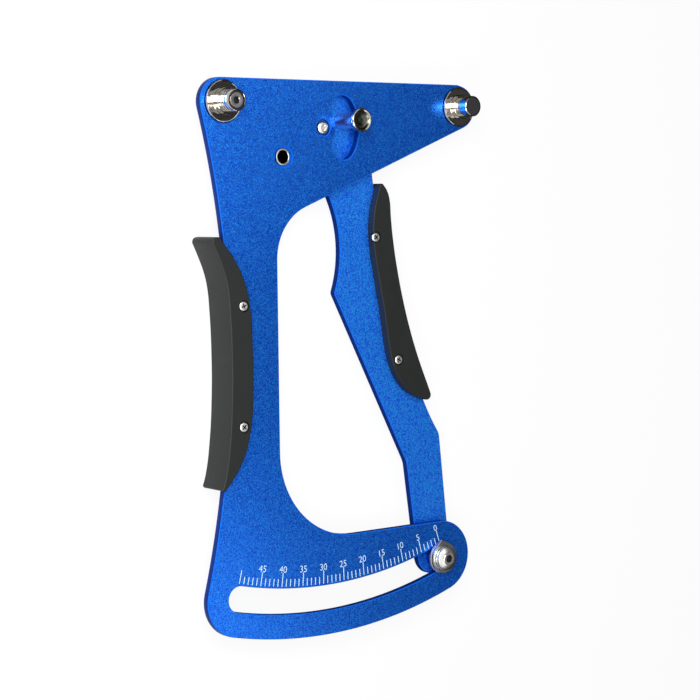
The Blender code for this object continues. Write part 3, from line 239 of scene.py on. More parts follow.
class StudioSettings(bpy.types.PropertyGroup):
    key_power: FloatProperty(name="Key light", description="Power of the light from the upper left",
                             default=1.8, min=0, unit="POWER")
    fill_power: FloatProperty(name="Fill light", description="Power of the light from the lower left",
                              default=1.0, min=0, unit="POWER")
    sheen_power: FloatProperty(name="Sheen lights", description="Power of the lights that the plates mirror",
                               default=0.17, min=0, unit="POWER")
    sky_strength: FloatProperty(name="Sky", description="Strength of the even light from all round",
                                default=0.25, min=0)


# Materials

class Signal:
    """A socket of a material that can be written in sums."""

    def __init__(self, nodes, socket):
        self.nodes = nodes
        self.socket = socket

    def maths(self, operation, *terms):
        return self.nodes.node("ShaderNodeMath", {"operation": operation}, dict(enumerate(terms)))

    def __add__(self, other):
        return self.maths("ADD", self, other)

    def __radd__(self, other):
        return self.maths("ADD", other, self)

    def __sub__(self, other):
        return self.maths("SUBTRACT", self, other)

    def __rsub__(self, other):
        return self.maths("SUBTRACT", other, self)

    def __mul__(self, other):
        return self.maths("MULTIPLY", self, other)

    def __rmul__(self, other):
        return self.maths("MULTIPLY", other, self)

    def __pow__(self, other):
        return self.maths("POWER", self, other)

    def above(self, low, high):
        """0 below low, 1 above high, and smooth between them."""
        return self.nodes.node("ShaderNodeMapRange", {"interpolation_type": "SMOOTHSTEP"},
                               {"Value": self, "From Min": low, "From Max": high})


class Nodes:
    """A tree of nodes in the making."""

    def __init__(self, owner):
        owner.use_nodes = True
        self.tree = owner.node_tree

    def node(self, kind, settings=None, sockets=None, output=0):
        """A node of a type with its settings, and the values or links of its sockets."""
        made = self.tree.nodes.new(kind)
        for key, value in (settings or {}).items():
            setattr(made, key, value)
        for key, value in (sockets or {}).items():
            self.feed(made.inputs[key], value)
        return Signal(self, made.outputs[output]) if made.outputs else None

    def feed(self, socket, value):
        """Set a socket, or link it to a signal."""
        if isinstance(value, Signal):
            self.tree.links.new(value.socket, socket)
        else:
            socket.default_value = value


class Finish(Nodes):
    """A Principled material in the making."""

    def __init__(self, name):
        super().__init__(bpy.data.materials.new(name))
        self.shader = self.tree.nodes["Principled BSDF"]
        self.place = self.node("ShaderNodeTexCoord", output="Object")

    def noise(self, scale, detail=2, roughness=0.5):
        return self.node("ShaderNodeTexNoise", None, {"Vector": self.place, "Scale": scale,
                                                      "Detail": detail, "Roughness": roughness})

    def lines(self, scale, along):
        """Noise along one number only, for drawn or turned lines."""
        return self.node("ShaderNodeTexNoise", {"noise_dimensions": "1D"},
                         {"W": along, "Scale": scale, "Detail": 3, "Roughness": 0.6})

    def parts(self, place):
        """X, Y and Z of a place."""
        split = self.node("ShaderNodeSeparateXYZ", None, {0: place}).socket.node
        return [Signal(self, socket) for socket in split.outputs]

    def blend(self, share, first, second):
        """Colour between two colours."""
        return self.node("ShaderNodeMix", {"data_type": "RGBA"},
                         {0: share, 6: self.rgba(first), 7: self.rgba(second)}, 2)

    @staticmethod
    def rgba(colour):
        return colour if isinstance(colour, Signal) else (*colour[:3], 1)

    def bump(self, height, strength, distance):
        return self.node("ShaderNodeBump", None, {"Strength": strength, "Distance": distance,
                                                  "Height": height})

    def dress(self, **sockets):
        """Feed the shader's sockets, named with underscores for spaces."""
        for key, value in sockets.items():
            self.feed(self.shader.inputs[key.replace("_", " ")],
                      self.rgba(value) if key == "Base_Color" else value)


def shade(colour, share):
    """A colour made darker or lighter."""
    return tuple(min(part * share, 1) for part in colour)


def blue_finish(name, bright, deep, roughness, metallic):
    """Blasted and anodised sheet: fine grain in a deep clear blue, with painted glints of bright flecks."""
    finish = Finish(name)
    grain = finish.noise(2300, 2, 0.6)
    fine = finish.noise(4350)
    cloud = finish.noise(45, 3)
    # spark marks small flecks that are mixed towards light cyan below: painted glints of the blasted facets.
    spark = finish.noise(2600, 1, 0.4).above(0.60, 0.72)
    tone = grain.above(0.38, 0.62) * 0.8 + fine.above(0.34, 0.66) * 0.4 - 0.1 + (cloud - 0.5) * 0.10
    base = finish.blend(tone, deep, bright)
    lit = finish.blend(spark * 0.46, base, (0.07, 0.50, 1.0))
    rough = roughness + (grain - 0.5) * 0.14 + (cloud - 0.5) * 0.05
    normal = finish.bump(grain * 0.6 + fine * 0.4, 0.10, 0.00006)
    finish.dress(Base_Color=lit, Metallic=metallic, Roughness=rough, Normal=normal, Specular_IOR_Level=0.4)


def edge_finish(name, bright, deep, roughness, metallic, specular):
    """Sheet's cut edge: anodised like the faces, with faint milling lines along it, in darker colours that
    paint shade.
    """
    finish = Finish(name)
    across = finish.parts(finish.place)[2]
    mill = finish.lines(9000, across)
    grain = finish.noise(2200)
    base = finish.blend(mill * 0.55 + grain * 0.45, deep, bright)
    rough = roughness + (mill - 0.5) * 0.16
    finish.dress(Base_Color=base, Metallic=metallic, Roughness=rough, Specular_IOR_Level=specular,
                 Normal=finish.bump(mill, 0.15, 0.00004))


def metal_finish(name, colour, roughness, centre=None, marks=0.5, dull=0.86, smear=260):
    """Bright metal with turning marks round a centre and faint smears."""
    finish = Finish(name)
    place = finish.place
    if centre is not None:
        place = finish.node("ShaderNodeMapping", None,
                            {"Vector": place, "Location": (-centre[0], -centre[1], 0)})
    x, y, z = finish.parts(place)
    rings = finish.lines(1.0, ((x * x + y * y) ** 0.5 + z) * 9000)
    cloud = finish.noise(smear, 3, 0.55)
    base = finish.blend(cloud.above(0.35, 0.75), colour, shade(colour, dull))
    rough = roughness * (0.75 + cloud * 0.5) + (rings - 0.5) * 0.10 * marks
    finish.dress(Base_Color=base, Metallic=1.0, Roughness=rough,
                 Normal=finish.bump(rings, 0.10 * marks, 0.00003))


def plastic_finish(name, colour, roughness, grain_scale, bump):
    """Moulded plastic: fine spark grain, faint flow clouds and rubbed patches."""
    finish = Finish(name)
    grain = finish.noise(grain_scale, 2, 0.55)
    cloud = finish.noise(60, 3)
    rubbed = finish.noise(140).above(0.52, 0.80)
    base = finish.blend(cloud * 0.6 + grain * 0.4, shade(colour, 0.80), shade(colour, 1.22))
    rough = roughness + (grain - 0.5) * 0.12 - rubbed * 0.06
    finish.dress(Base_Color=base, Roughness=rough, Normal=finish.bump(grain, bump, 0.00005),
                 Specular_IOR_Level=0.3)


def centre_of(node):
    """Middle of a node, in metres."""
    low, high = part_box(node)
    return (low + high) / 2


class METER_OT_finishes(bpy.types.Operator):
    """Make every material of the meter"""
    bl_idname = "meter.finishes"
    bl_label = "Make finishes"

    def execute(self, context):
        colours = context.scene.meter_colours
        blue = tuple(colours.blue)
        deep = tuple(colours.deep_blue)
        steel = tuple(colours.steel)
        chrome = tuple(colours.chrome)
        blue_finish("plate_blue", blue, deep, 0.25, 0.75)
        # The lever and the pointer's spacer take a lighter copy of the plate's blue: painted sheen for the
        # brighter light that the lever mirrors.
        blue_finish("lever_blue_painted_sheen", shade(blue, 1.42), (deep[0], deep[1] * 0.85, deep[2] * 1.35), 0.33, 0.55)
        # The plates' tall walls take a dark navy copy of the blue: painted shade and dark reflection on the
        # walls.
        edge_finish("edge_blue_painted_shade", (0.002, 0.030, 0.22), (0.001, 0.014, 0.13), 0.45, 0.2, 0.1)
        # The broken rims take a darker copy of the blue that mirrors nothing: painted shade on the chamfers.
        edge_finish("rim_blue_painted_shade", shade(blue, 0.80), deep, 0.50, 0.0, 0.0)
        plastic_finish("grip_plastic_black", tuple(colours.grip), 0.50, 3800, 0.16)
        plastic_finish("disc_rubber_black", (0.022, 0.022, 0.023), 0.62, 5200, 0.10)
        plastic_finish("bearing_nylon", (0.70, 0.67, 0.58), 0.42, 2600, 0.08)
        for node in ("left_post", "right_post", "moving_post"):
            metal_finish("chrome_" + node, chrome, 0.07, centre_of(node), marks=0.2, dull=0.80)
        metal_finish("steel_pointer_washer", (0.62, 0.62, 0.74), 0.55, centre_of("pointer_washer"),
                     dull=0.9, smear=60)
        for node in ("pointer_screw", "pivot_screw", "spring_stud_body"):
            metal_finish("steel_" + node, shade(steel, 1.2), 0.30, centre_of(node), dull=0.9, smear=60)
        metal_finish("steel_pointer", shade(steel, 0.80), 0.26, centre_of("pointer_screw"), marks=0.8)
        metal_finish("nub_grey", (0.26, 0.25, 0.27), 0.36, centre_of("left_post"))
        # Blue-tinted satin metal for the moving post's shank: a painted reflection of the blue plates round
        # it.
        metal_finish("shank_satin_painted_reflection", (0.46, 0.50, 0.68), 0.34, centre_of("moving_post"), marks=0.6)
        # Dark olive metal for the moving post's cup: painted shade in its hollow.
        metal_finish("cup_olive_painted_shade", (0.13, 0.13, 0.105), 0.24, centre_of("moving_post"), marks=1.0, dull=0.5)
        metal_finish("zinc_bright", shade(steel, 1.25), 0.38, marks=0.3)
        for node in ZINC_NODES:
            metal_finish("zinc_" + node, shade(steel, 0.95), 0.27, centre_of(node), marks=0.8)
        metal_finish("spring_wire", (0.42, 0.42, 0.43), 0.28, marks=0.6, dull=0.75)
        mark = Finish("scale_print")
        patch = mark.noise(1800)
        colour = tuple(colours.print_white)
        mark.dress(Base_Color=mark.blend(patch, shade(colour, 0.86), colour),
                   Roughness=0.55 + (patch - 0.5) * 0.1)
        # Painted shade: a near-black finish for hollows, the driving recesses, the post's hole and groove,
        # the stud's bore and the grip screws' sides, where shade falls.
        dark = Finish("socket_painted_shade")
        painted_shade_mottle = dark.noise(2400)
        dark.dress(Base_Color=dark.blend(painted_shade_mottle, (0.010, 0.010, 0.011), (0.03, 0.029, 0.028)), Metallic=0.3,
                   Roughness=0.5 + (painted_shade_mottle - 0.5) * 0.2)
        return {"FINISHED"}


# Outlines

def circles_meet(first, first_radius, second, second_radius):
    """Where two circles cross, on the left of the line between their centres."""
    gap = hypot(second[0] - first[0], second[1] - first[1])
    along = (gap ** 2 + first_radius ** 2 - second_radius ** 2) / (2 * gap)
    aside = sqrt(first_radius ** 2 - along ** 2)
    ux = (second[0] - first[0]) / gap
    uy = (second[1] - first[1]) / gap
    return (first[0] + along * ux - aside * uy, first[1] + along * uy + aside * ux)


def beyond(centre, reach, angle):
    """Place at a distance from a centre, at an angle in degrees from +X."""
    return (centre[0] + reach * cos(radians(angle)), centre[1] + reach * sin(radians(angle)))


def corner_circle(before, corner, after, radius, turn):
    """Circle that rounds the corner of two straight edges."""
    corner = Vector(corner)
    one = (Vector(before) - corner).normalized()
    other = (Vector(after) - corner).normalized()
    centre = corner + (one + other).normalized() * radius / sin(one.angle(other) / 2)
    return (tuple(centre), radius, turn)


def headings(circles):
    """Direction of the straight run that leaves each circle."""
    ways = []
    for (centre, radius, turn), (onward, next_radius, next_turn) in zip(circles, circles[1:] + circles[:1]):
        run = Vector(onward) - Vector(centre)
        lean = (turn * radius - next_turn * next_radius) / run.length
        ways.append(atan2(run.y, run.x) + asin(max(-1, min(1, lean))))
    return ways


def walk(vert):
    """Edges of the open or closed run that a vertex lies on."""
    found = {}
    waiting = [vert]
    while waiting:
        for edge in waiting.pop().link_edges:
            if edge not in found:
                found[edge] = True
                waiting += edge.verts
    return list(found)


def trace(work, circles, grow, level):
    """Closed outline that runs round circles in turn, joined by straight runs.

    Each circle is (centre, radius, turn), with turn +1 where the outline bends
    to the left and -1 where it bends to the right.
    """
    if len(circles) == 1:
        (x, y), radius, turn = circles[0]
        made = bmesh.ops.create_circle(work, cap_ends=False, segments=80, radius=radius + grow,
                                       matrix=Matrix.Translation((x, y, level)))
        return walk(made["verts"][0])
    ways = headings(circles)
    first = last = None
    for i, (centre, radius, turn) in enumerate(circles):
        sweep = (turn * (ways[i] - ways[i - 1])) % (2 * pi)
        # Rounding can make a whole turn out of none
        sweep = 0 if sweep > 1.9 * pi else sweep
        start = ways[i - 1] - turn * pi / 2
        reach = radius + turn * grow
        place = Vector((centre[0] + reach * cos(start), centre[1] + reach * sin(start), level))
        if last is not None and (last.co - place).length < MERGE:
            vert = last
        else:
            vert = work.verts.new(place)
            if last is not None:
                work.edges.new((last, vert))
        first = first or vert
        steps = max(ceil(degrees(sweep) / ARC_STEP_ANGLE), ceil(sweep * radius / ARC_STEP_LENGTH))
        if steps:
            arc = bmesh.ops.spin(work, geom=[vert], cent=(centre[0], centre[1], level), axis=(0, 0, 1),
                                 angle=turn * sweep, steps=steps, use_duplicate=False)
            last = of_kind(arc["geom_last"], bmesh.types.BMVert)[0]
        else:
            last = vert
    if (last.co - first.co).length < MERGE:
        bmesh.ops.pointmerge(work, verts=[first, last], merge_co=first.co)
    else:
        work.edges.new((last, first))
    return walk(first)


def bent_slot(radius, half_width, start, sweep):
    """Slot that curves about the pivot; angles in degrees from +X."""
    first = beyond((0, 0), radius, start)
    last = beyond((0, 0), radius, start + sweep)
    return [((0, 0), radius + half_width, 1), (last, half_width, 1),
            ((0, 0), radius - half_width, -1), (first, half_width, 1)]


def body_outline():
    """Outer edge of the C-shaped body plate."""
    top = RIGHT_POST[1] + HEAD_RISE
    back, back_radius = BACK_EDGE
    corner_y = top - LEFT_CORNER_RADIUS
    corner_x = back[0] + sqrt((back_radius + LEFT_CORNER_RADIUS) ** 2 - (corner_y - back[1]) ** 2)
    foot = circles_meet((0, 0), ARM_OUTER_RADIUS - FOOT_RADIUS, back, back_radius + FOOT_RADIUS)
    tip_y = ARM_TOP_Y - ARM_TIP_RADIUS
    tip_x = sqrt((ARM_OUTER_RADIUS - ARM_TIP_RADIUS) ** 2 - tip_y ** 2)
    return [((corner_x, corner_y), LEFT_CORNER_RADIUS, 1), (back, back_radius, -1), (foot, FOOT_RADIUS, 1),
            ((0, 0), ARM_OUTER_RADIUS, 1), ((tip_x, tip_y), ARM_TIP_RADIUS, 1),
            ((COLUMN_INNER_X + LOW_BEND_RADIUS, ARM_TOP_Y + LOW_BEND_RADIUS), LOW_BEND_RADIUS, -1),
            ((COLUMN_INNER_X + HIGH_BEND_RADIUS, HIGH_BEND_Y), HIGH_BEND_RADIUS, -1),
            ((RIGHT_POST[0], RIGHT_POST[1] - 0.1), RIGHT_END_RADIUS, 1),
            ((RIGHT_POST[0] - 0.3, top - RIGHT_CORNER_RADIUS), RIGHT_CORNER_RADIUS, 1)]


def lever_edge_centre():
    """Centre of the long curve along the lever's outer edge."""
    return circles_meet(LEVER_EDGE_TOP, LEVER_EDGE_RADIUS, LEVER_EDGE_LOW, LEVER_EDGE_RADIUS)


def lever_outline():
    """Outer edge of the lever."""
    edge = lever_edge_centre()
    shoulder_x = edge[0] - sqrt((LEVER_EDGE_RADIUS + SHOULDER_RADIUS) ** 2 - (SHOULDER_Y - edge[1]) ** 2)
    waist = beyond((0, 0), CROWN_RADIUS + WAIST_RADIUS, WAIST_ANGLE)
    nose = beyond(waist, WAIST_RADIUS + NOSE_RADIUS, NOSE_ANGLE)
    flare = beyond(edge, LEVER_EDGE_RADIUS - FLARE_RADIUS, FLARE_ANGLE)
    elbow = beyond(flare, FLARE_RADIUS + ELBOW_RADIUS, ELBOW_ANGLE)
    heel = corner_circle(nose, LEVER_HEEL, (LEVER_END[0] - LEVER_END_RADIUS, LEVER_END[1]), HEEL_RADIUS, -1)
    return [((shoulder_x, SHOULDER_Y), SHOULDER_RADIUS, 1), (LEVER_STUD, EAR_RADIUS, 1),
            ((0, 0), CROWN_RADIUS, 1), (waist, WAIST_RADIUS, -1), (nose, NOSE_RADIUS, 1), heel,
            (LEVER_END, LEVER_END_RADIUS, 1), (elbow, ELBOW_RADIUS, 1), (flare, FLARE_RADIUS, -1),
            (edge, LEVER_EDGE_RADIUS, -1)]


# Building blocks

def crease(work, limit=28):
    """Shade a shape smooth, but keep its sharp edges and its level faces flat."""
    work.normal_update()
    for face in work.faces:
        face.smooth = True
    for edge in work.edges:
        if len(edge.link_faces) == 2:
            level = any(abs(face.normal.z) > 0.9999 for face in edge.link_faces)
            edge.smooth = edge.calc_face_angle() < radians(0.5 if level else limit)


def in_scene(name, data):
    """A new object in the scene."""
    item = bpy.data.objects.new(name, data)
    bpy.context.scene.collection.objects.link(item)
    return item


def new_mesh(work, name):
    """Mesh of a shape, which is then let go."""
    mesh = bpy.data.meshes.new(name)
    work.to_mesh(mesh)
    work.free()
    return mesh


def final_mesh(item):
    """New mesh of a curve, a text or a piece with its modifiers."""
    bpy.context.view_layer.update()
    return bpy.data.meshes.new_from_object(item.evaluated_get(bpy.context.evaluated_depsgraph_get()))


def of_kind(items, kind):
    """Verts, edges or faces among the items that an operator gives."""
    return [item for item in items if isinstance(item, kind)]


def finish_piece(work, name, body, node, finishes):
    """Give a shape its place, its materials and the body that it rides on."""
    bmesh.ops.remove_doubles(work, verts=work.verts, dist=MERGE)
    bmesh.ops.recalc_face_normals(work, faces=work.faces)
    crease(work)
    bmesh.ops.scale(work, vec=(MM, MM, MM), verts=work.verts)
    bmesh.ops.translate(work, vec=PIVOT, verts=work.verts)
    mesh = new_mesh(work, name)
    for finish in finishes:
        mesh.materials.append(bpy.data.materials[finish])
    piece = in_scene(name, mesh)
    if body:
        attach(piece, body)
    if node:
        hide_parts(node)
    return piece


def rounded(width, level, side):
    """Three steps (inset, level) of a small rounded rim; side is +1 for a top rim, -1 for a bottom rim."""
    bend = ROUND_SHARE * width
    return [(-width, level), (-bend, level - side * bend), (0, level - side * width)]


def rim_steps(low, high, rim, hole=False):
    """Steps of a plate's wall from its front to its back, with both rims broken."""
    steps = rounded(rim, high, 1) + rounded(rim, low, -1)[::-1]
    return [(-grow if hole else grow, level) for grow, level in steps]


def seat_steps(seat, depth, hole, low, high, rim):
    """Steps of a round hole of a given radius with a wider seat in the front."""
    return [(seat + rim, high), (seat, high - rim), (seat, high - depth), (hole, high - depth),
            (hole, low + rim), (hole + rim, low)]


def circle(place, radius=0):
    """Outline that is one circle; with no radius, its steps give the radii."""
    return [(place, radius, 1)]


def below(level, points):
    """(radius, level) points of a profile from radii and drops below a level."""
    return [(radius, level - drop) for radius, drop in points]


def plate(walls, edge_slot=1, rim_slot=2):
    """A flat plate from walls, each an outline and its steps from the front to the back."""
    work = bmesh.new()
    front, back = [], []
    for circles, steps in walls:
        rings = [trace(work, circles, grow, level) for grow, level in steps]
        front += rings[0]
        back += rings[-1]
        for number, (upper, lower) in enumerate(zip(rings[:-1], rings[1:])):
            made = bmesh.ops.bridge_loops(work, edges=upper + lower)
            tall = abs(steps[number][1] - steps[number + 1][1]) > RIM_LIMIT
            for face in made["faces"]:
                face.material_index = edge_slot if tall else rim_slot
    for edges in (front, back):
        bmesh.ops.triangle_fill(work, edges=edges, use_beauty=True)
    if not all(edge.is_manifold for edge in work.edges):
        raise RuntimeError("a plate's walls cross, so that its faces can't be closed")
    return work


def turned(profile, centre, steps=None):
    """A turned shape from (radius, level) points, from the top down its outer side."""
    steps = steps or bpy.context.scene.meter_sizes.round_steps
    work = bmesh.new()
    verts = [work.verts.new((centre[0] + radius, centre[1], level)) for radius, level in profile]
    edges = [work.edges.new(pair) for pair in zip(verts[:-1], verts[1:])]
    bmesh.ops.spin(work, geom=list(work.verts) + edges, cent=(centre[0], centre[1], 0), axis=(0, 0, 1),
                   angle=2 * pi, steps=steps, use_merge=True, use_duplicate=False)
    bmesh.ops.remove_doubles(work, verts=work.verts, dist=MERGE)
    return work


def recess(work, centre, level, corners, depth, taper):
    """Close the open top of a turned head with a flat that has a driving recess of given corners, in painted
    shade.
    """
    ring = [edge for edge in work.edges if edge.is_boundary
            and all(abs(vert.co.z - level) < MERGE for vert in edge.verts)]
    verts = [work.verts.new((centre[0] + x, centre[1] + y, level)) for x, y in corners]
    mouth = [work.edges.new(pair) for pair in zip(verts, verts[1:] + verts[:1])]
    bmesh.ops.triangle_fill(work, edges=ring + mouth, use_beauty=True)
    made = bmesh.ops.extrude_edge_only(work, edges=mouth)["geom"]
    low = of_kind(made, bmesh.types.BMVert)
    bmesh.ops.translate(work, vec=(0, 0, -depth), verts=low)
    bmesh.ops.scale(work, vec=(taper, taper, 1), verts=low,
                    space=Matrix.Translation((-centre[0], -centre[1], 0)))
    floor = bmesh.ops.contextual_create(work, geom=of_kind(made, bmesh.types.BMEdge))
    # The recess's walls and floor take the second finish, the painted shade.
    for face in floor["faces"] + of_kind(made, bmesh.types.BMFace):
        face.material_index = 1


def hexagon(flats, turn=0):
    """Corners of a hexagon of the given width across its flats."""
    reach = flats / sqrt(3)
    return [(reach * cos(pi * i / 3 + turn), reach * sin(pi * i / 3 + turn)) for i in range(6)]


def cross(length, width, turn):
    """Corners of a cross recess."""
    corners = []
    for quarter in range(4):
        angle = radians(turn) + quarter * pi / 2
        for along, across in ((length / 2, -width / 2), (length / 2, width / 2), (width / 2, width / 2)):
            corners.append((along * cos(angle) - across * sin(angle),
                            along * sin(angle) + across * cos(angle)))
    return corners


# Pieces

class METER_OT_body_plate(bpy.types.Operator):
    """Build the C-shaped body plate with its slots and seats"""
    bl_idname = "meter.body_plate"
    bl_label = "Body plate"

    def execute(self, context):
        rim = context.scene.meter_sizes.plate_rim / MM
        low, high = PLATE_LOW, PLATE_HIGH
        slot = bent_slot(SLOT_RADIUS, SLOT_HALF_WIDTH, REST_ANGLE - 90 - SWING_ANGLE, SWING_ANGLE)
        kidney = bent_slot(KIDNEY_RADIUS, KIDNEY_HALF_WIDTH, KIDNEY_ANGLES[0],
                           KIDNEY_ANGLES[1] - KIDNEY_ANGLES[0])
        walls = [(body_outline(), rim_steps(low, high, rim)),
                 (slot, rim_steps(low, high, rim, True)), (kidney, rim_steps(low, high, rim, True))]
        for place, seat, depth, hole, edge in (((0, 0), 3.1, 1.3, 2.3, rim),
                                               (SPRING_STUD, 4.0, 0.7, 3.45, rim),
                                               (LEFT_POST, FLANGE_SEAT_RADIUS, 0.5, 2.0, 0.1),
                                               (RIGHT_POST, FLANGE_SEAT_RADIUS, 0.5, 2.0, 0.1)):
            walls.append((circle(place), seat_steps(seat, depth, hole, low, high, edge)))
        finish_piece(plate(walls), "body_plate_blue", "body", "body_plate",
                     ["plate_blue", "edge_blue_painted_shade", "rim_blue_painted_shade"])
        return {"FINISHED"}


class METER_OT_lever_plate(bpy.types.Operator):
    """Build the lever plate"""
    bl_idname = "meter.lever_plate"
    bl_label = "Lever plate"

    def execute(self, context):
        rim = context.scene.meter_sizes.plate_rim / MM
        low, high = LEVER_LOW, LEVER_HIGH
        holes = [((0, 0), 3.9), (MOVING_POST, 2.3), (LEVER_STUD, 2.3), (POINTER, 2.8)]
        walls = [(lever_outline(), rim_steps(low, high, rim))]
        walls += [(circle(place, radius), rim_steps(low, high, 0.15, True)) for place, radius in holes]
        finish_piece(plate(walls), "lever_plate_blue", "lever", "lever_plate",
                     ["lever_blue_painted_sheen", "edge_blue_painted_shade", "rim_blue_painted_shade"])
        return {"FINISHED"}


def ringed_post(tip, grooves):
    """Profile of a fixed post: tip, grooved shank, step and flange with a raised rim."""
    profile = below(POST_TOP, tip)
    for i in range(grooves):
        middle = POST_TOP - (POST_TOP - POST_STEP_TOP) / (grooves + 1) * (i + 1)
        profile += [(POST_RADIUS, middle + 0.25), (3.8, middle + 0.12), (3.78, middle - 0.12),
                    (POST_RADIUS, middle - 0.25)]
    profile += below(POST_STEP_TOP, ((POST_RADIUS, 0), (4.5, 0), (4.7, 0.2)))
    profile += [(radius, PLATE_HIGH + rise) for radius, rise in (
        (4.7, 1.9), (4.72, 1.0), (4.85, 0.88), (7.1, 0.88), (7.2, 0.98), (7.35, 1.0), (7.55, 0.92),
        (7.7, 0.72))]
    return profile + below(PLATE_HIGH, ((7.7, 0.3), (0, 0.3)))


def darken(work, centre, top, near, far, slot=1):
    """Give another finish to a turned piece's faces between two radii, above a level."""
    for face in work.faces:
        if all(near < (vert.co.xy - Vector(centre)).length < far and vert.co.z > top for vert in face.verts):
            face.material_index = slot


class METER_OT_posts(bpy.types.Operator):
    """Turn the two fixed posts and the moving post"""
    bl_idname = "meter.posts"
    bl_label = "Posts"

    def execute(self, context):
        nub = ((0, 2.2), (1.2, 2.2), (1.2, 0.45), (1.35, 0.30), (2.4, 0.18), (2.75, 0.22), (2.9, 0.40),
               (2.9, 0.75), (3.45, 0.75), (3.45, 0.10), (3.55, 0), (3.75, 0), (3.92, 0.07),
               (POST_RADIUS, 0.25))
        work = turned(ringed_post(nub, 3), LEFT_POST)
        # The tip's hole and groove take painted shade; the ring between them takes a duller grey metal.
        for near, far, slot in ((-1, 1.21, 1), (2.89, 3.46, 1), (1.21, 2.89, 2)):
            darken(work, LEFT_POST, PLATE_HIGH + 6.5, near, far, slot)
        finish_piece(work, "left_post_chrome", "body", "left_post",
                     ["chrome_left_post", "socket_painted_shade", "nub_grey"])
        pocket = ((0, 0.8), (3.6, 0.8), (3.6, 0), (3.7, 0), (3.85, 0.08), (POST_RADIUS, 0.30))
        finish_piece(turned(ringed_post(pocket, 0), RIGHT_POST), "right_post_chrome", "body", "right_post",
                     ["chrome_right_post"])
        disc = below(POST_TOP, ((0, 0.06), (3.1, 0.06), (3.35, 0.1), (3.45, 0.2), (3.45, 0.6), (0, 0.6)))
        finish_piece(turned(disc, RIGHT_POST), "right_post_disc", "body", "right_post_cap",
                     ["disc_rubber_black"])
        low = levels("moving_post")[0]
        profile = below(MOVING_POST_TOP, (
            (0, 1.2), (1.1, 1.2), (1.45, 1.1), (1.7, 0.95), (2.6, 0.85), (2.9, 0.8), (3.2, 0.5), (3.45, 0.25),
            (3.85, 0.05), (4.1, 0), (4.3, 0.05), (4.45, 0.2), (4.5, 0.4), (4.5, 1.7), (4.4, 1.95),
            (4.1, 2.15), (3.5, 2.2), (3.2, 2.3), (3.05, 2.5)))
        profile += [(3.05, LEVER_HIGH + 0.5), (3.0, LEVER_HIGH + 0.2), (2.0, LEVER_HIGH + 0.2),
                    (2.0, low + 0.2), (1.8, low), (0, low)]
        work = turned(profile, MOVING_POST)
        # The shank above the lever takes the blue-tinted metal, a painted reflection.
        darken(work, MOVING_POST, LEVER_HIGH + 0.1, 2.9, 3.1)
        # The cup's hollow takes the dark olive metal, painted shade.
        darken(work, MOVING_POST, MOVING_POST_TOP - 1.3, -1, 3.5, 2)
        finish_piece(work, "moving_post_chrome", "lever", "moving_post",
                     ["chrome_moving_post", "shank_satin_painted_reflection", "cup_olive_painted_shade"])
        return {"FINISHED"}


class METER_OT_pointer(bpy.types.Operator):
    """Build the pointer, its washer and spacer, and its button-head screw"""
    bl_idname = "meter.pointer"
    bl_label = "Pointer"

    def execute(self, context):
        low, high = levels("pointer_washer")
        washer = [(circle(POINTER), [(6.0, high), (6.14, high - 0.05), (6.2, high - 0.2), (6.2, low + 0.2),
                                     (6.14, low + 0.05), (6.0, low)]),
                  (circle(POINTER), [(2.9, high), (2.8, high - 0.1), (2.8, low + 0.1), (2.9, low)])]
        finish_piece(plate(washer, 0, 0), "pointer_washer_steel", "lever", "pointer_washer",
                     ["steel_pointer_washer"])
        low, high = levels("pointer")
        up = REST_ANGLE + 90 - 6.0
        outline = [(POINTER, 6.1, 1), (beyond(POINTER, 7.3, up), 0.3, 1)]
        ring = [(outline, rim_steps(low, high, 0.16)),
                (circle(POINTER, 2.8), rim_steps(low, high, 0.1, True))]
        finish_piece(plate(ring, 0, 0), "pointer_steel", "lever", "pointer",
                     ["steel_pointer"])
        low, high = levels("pointer_screw")
        head = levels("pointer")[1] + 0.2
        rise = high - head
        dome = [(SCREW_HEAD_RADIUS * share, head + rise * sqrt(1 - (0.86 * share) ** 2))
                for share in (0.50, 0.54, 0.58, 0.64, 0.70, 0.76, 0.82, 0.88, 0.93, 0.97)]
        flat = dome[0][1] + 0.05
        profile = [(2.0, flat), (2.35, flat), (2.45, flat - 0.1)] + dome[1:]
        profile += [(4.75, head + 0.42 * rise), (SCREW_HEAD_RADIUS, head + 0.32 * rise),
                    (SCREW_HEAD_RADIUS, head + 0.15), (4.65, head), (2.5, head), (2.5, low + 0.3),
                    (2.2, low), (0, low)]
        work = turned(profile, POINTER)
        recess(work, POINTER, flat, hexagon(2.9, 0.2), 1.5, 1.0)
        finish_piece(work, "pointer_screw_steel", "lever", "pointer_screw",
                     ["steel_pointer_screw", "socket_painted_shade"])
        low, high = levels("pointer_spacer")
        spacer = [(circle(POINTER), [(4.0, high), (4.2, high - 0.2), (4.2, low + 0.2), (4.0, low)]),
                  (circle(POINTER), [(2.8, high), (2.8, low)])]
        finish_piece(plate(spacer, 1, 1), "pointer_spacer_blue", "lever", "pointer_spacer",
                     ["lever_blue_painted_sheen", "edge_blue_painted_shade"])
        return {"FINISHED"}


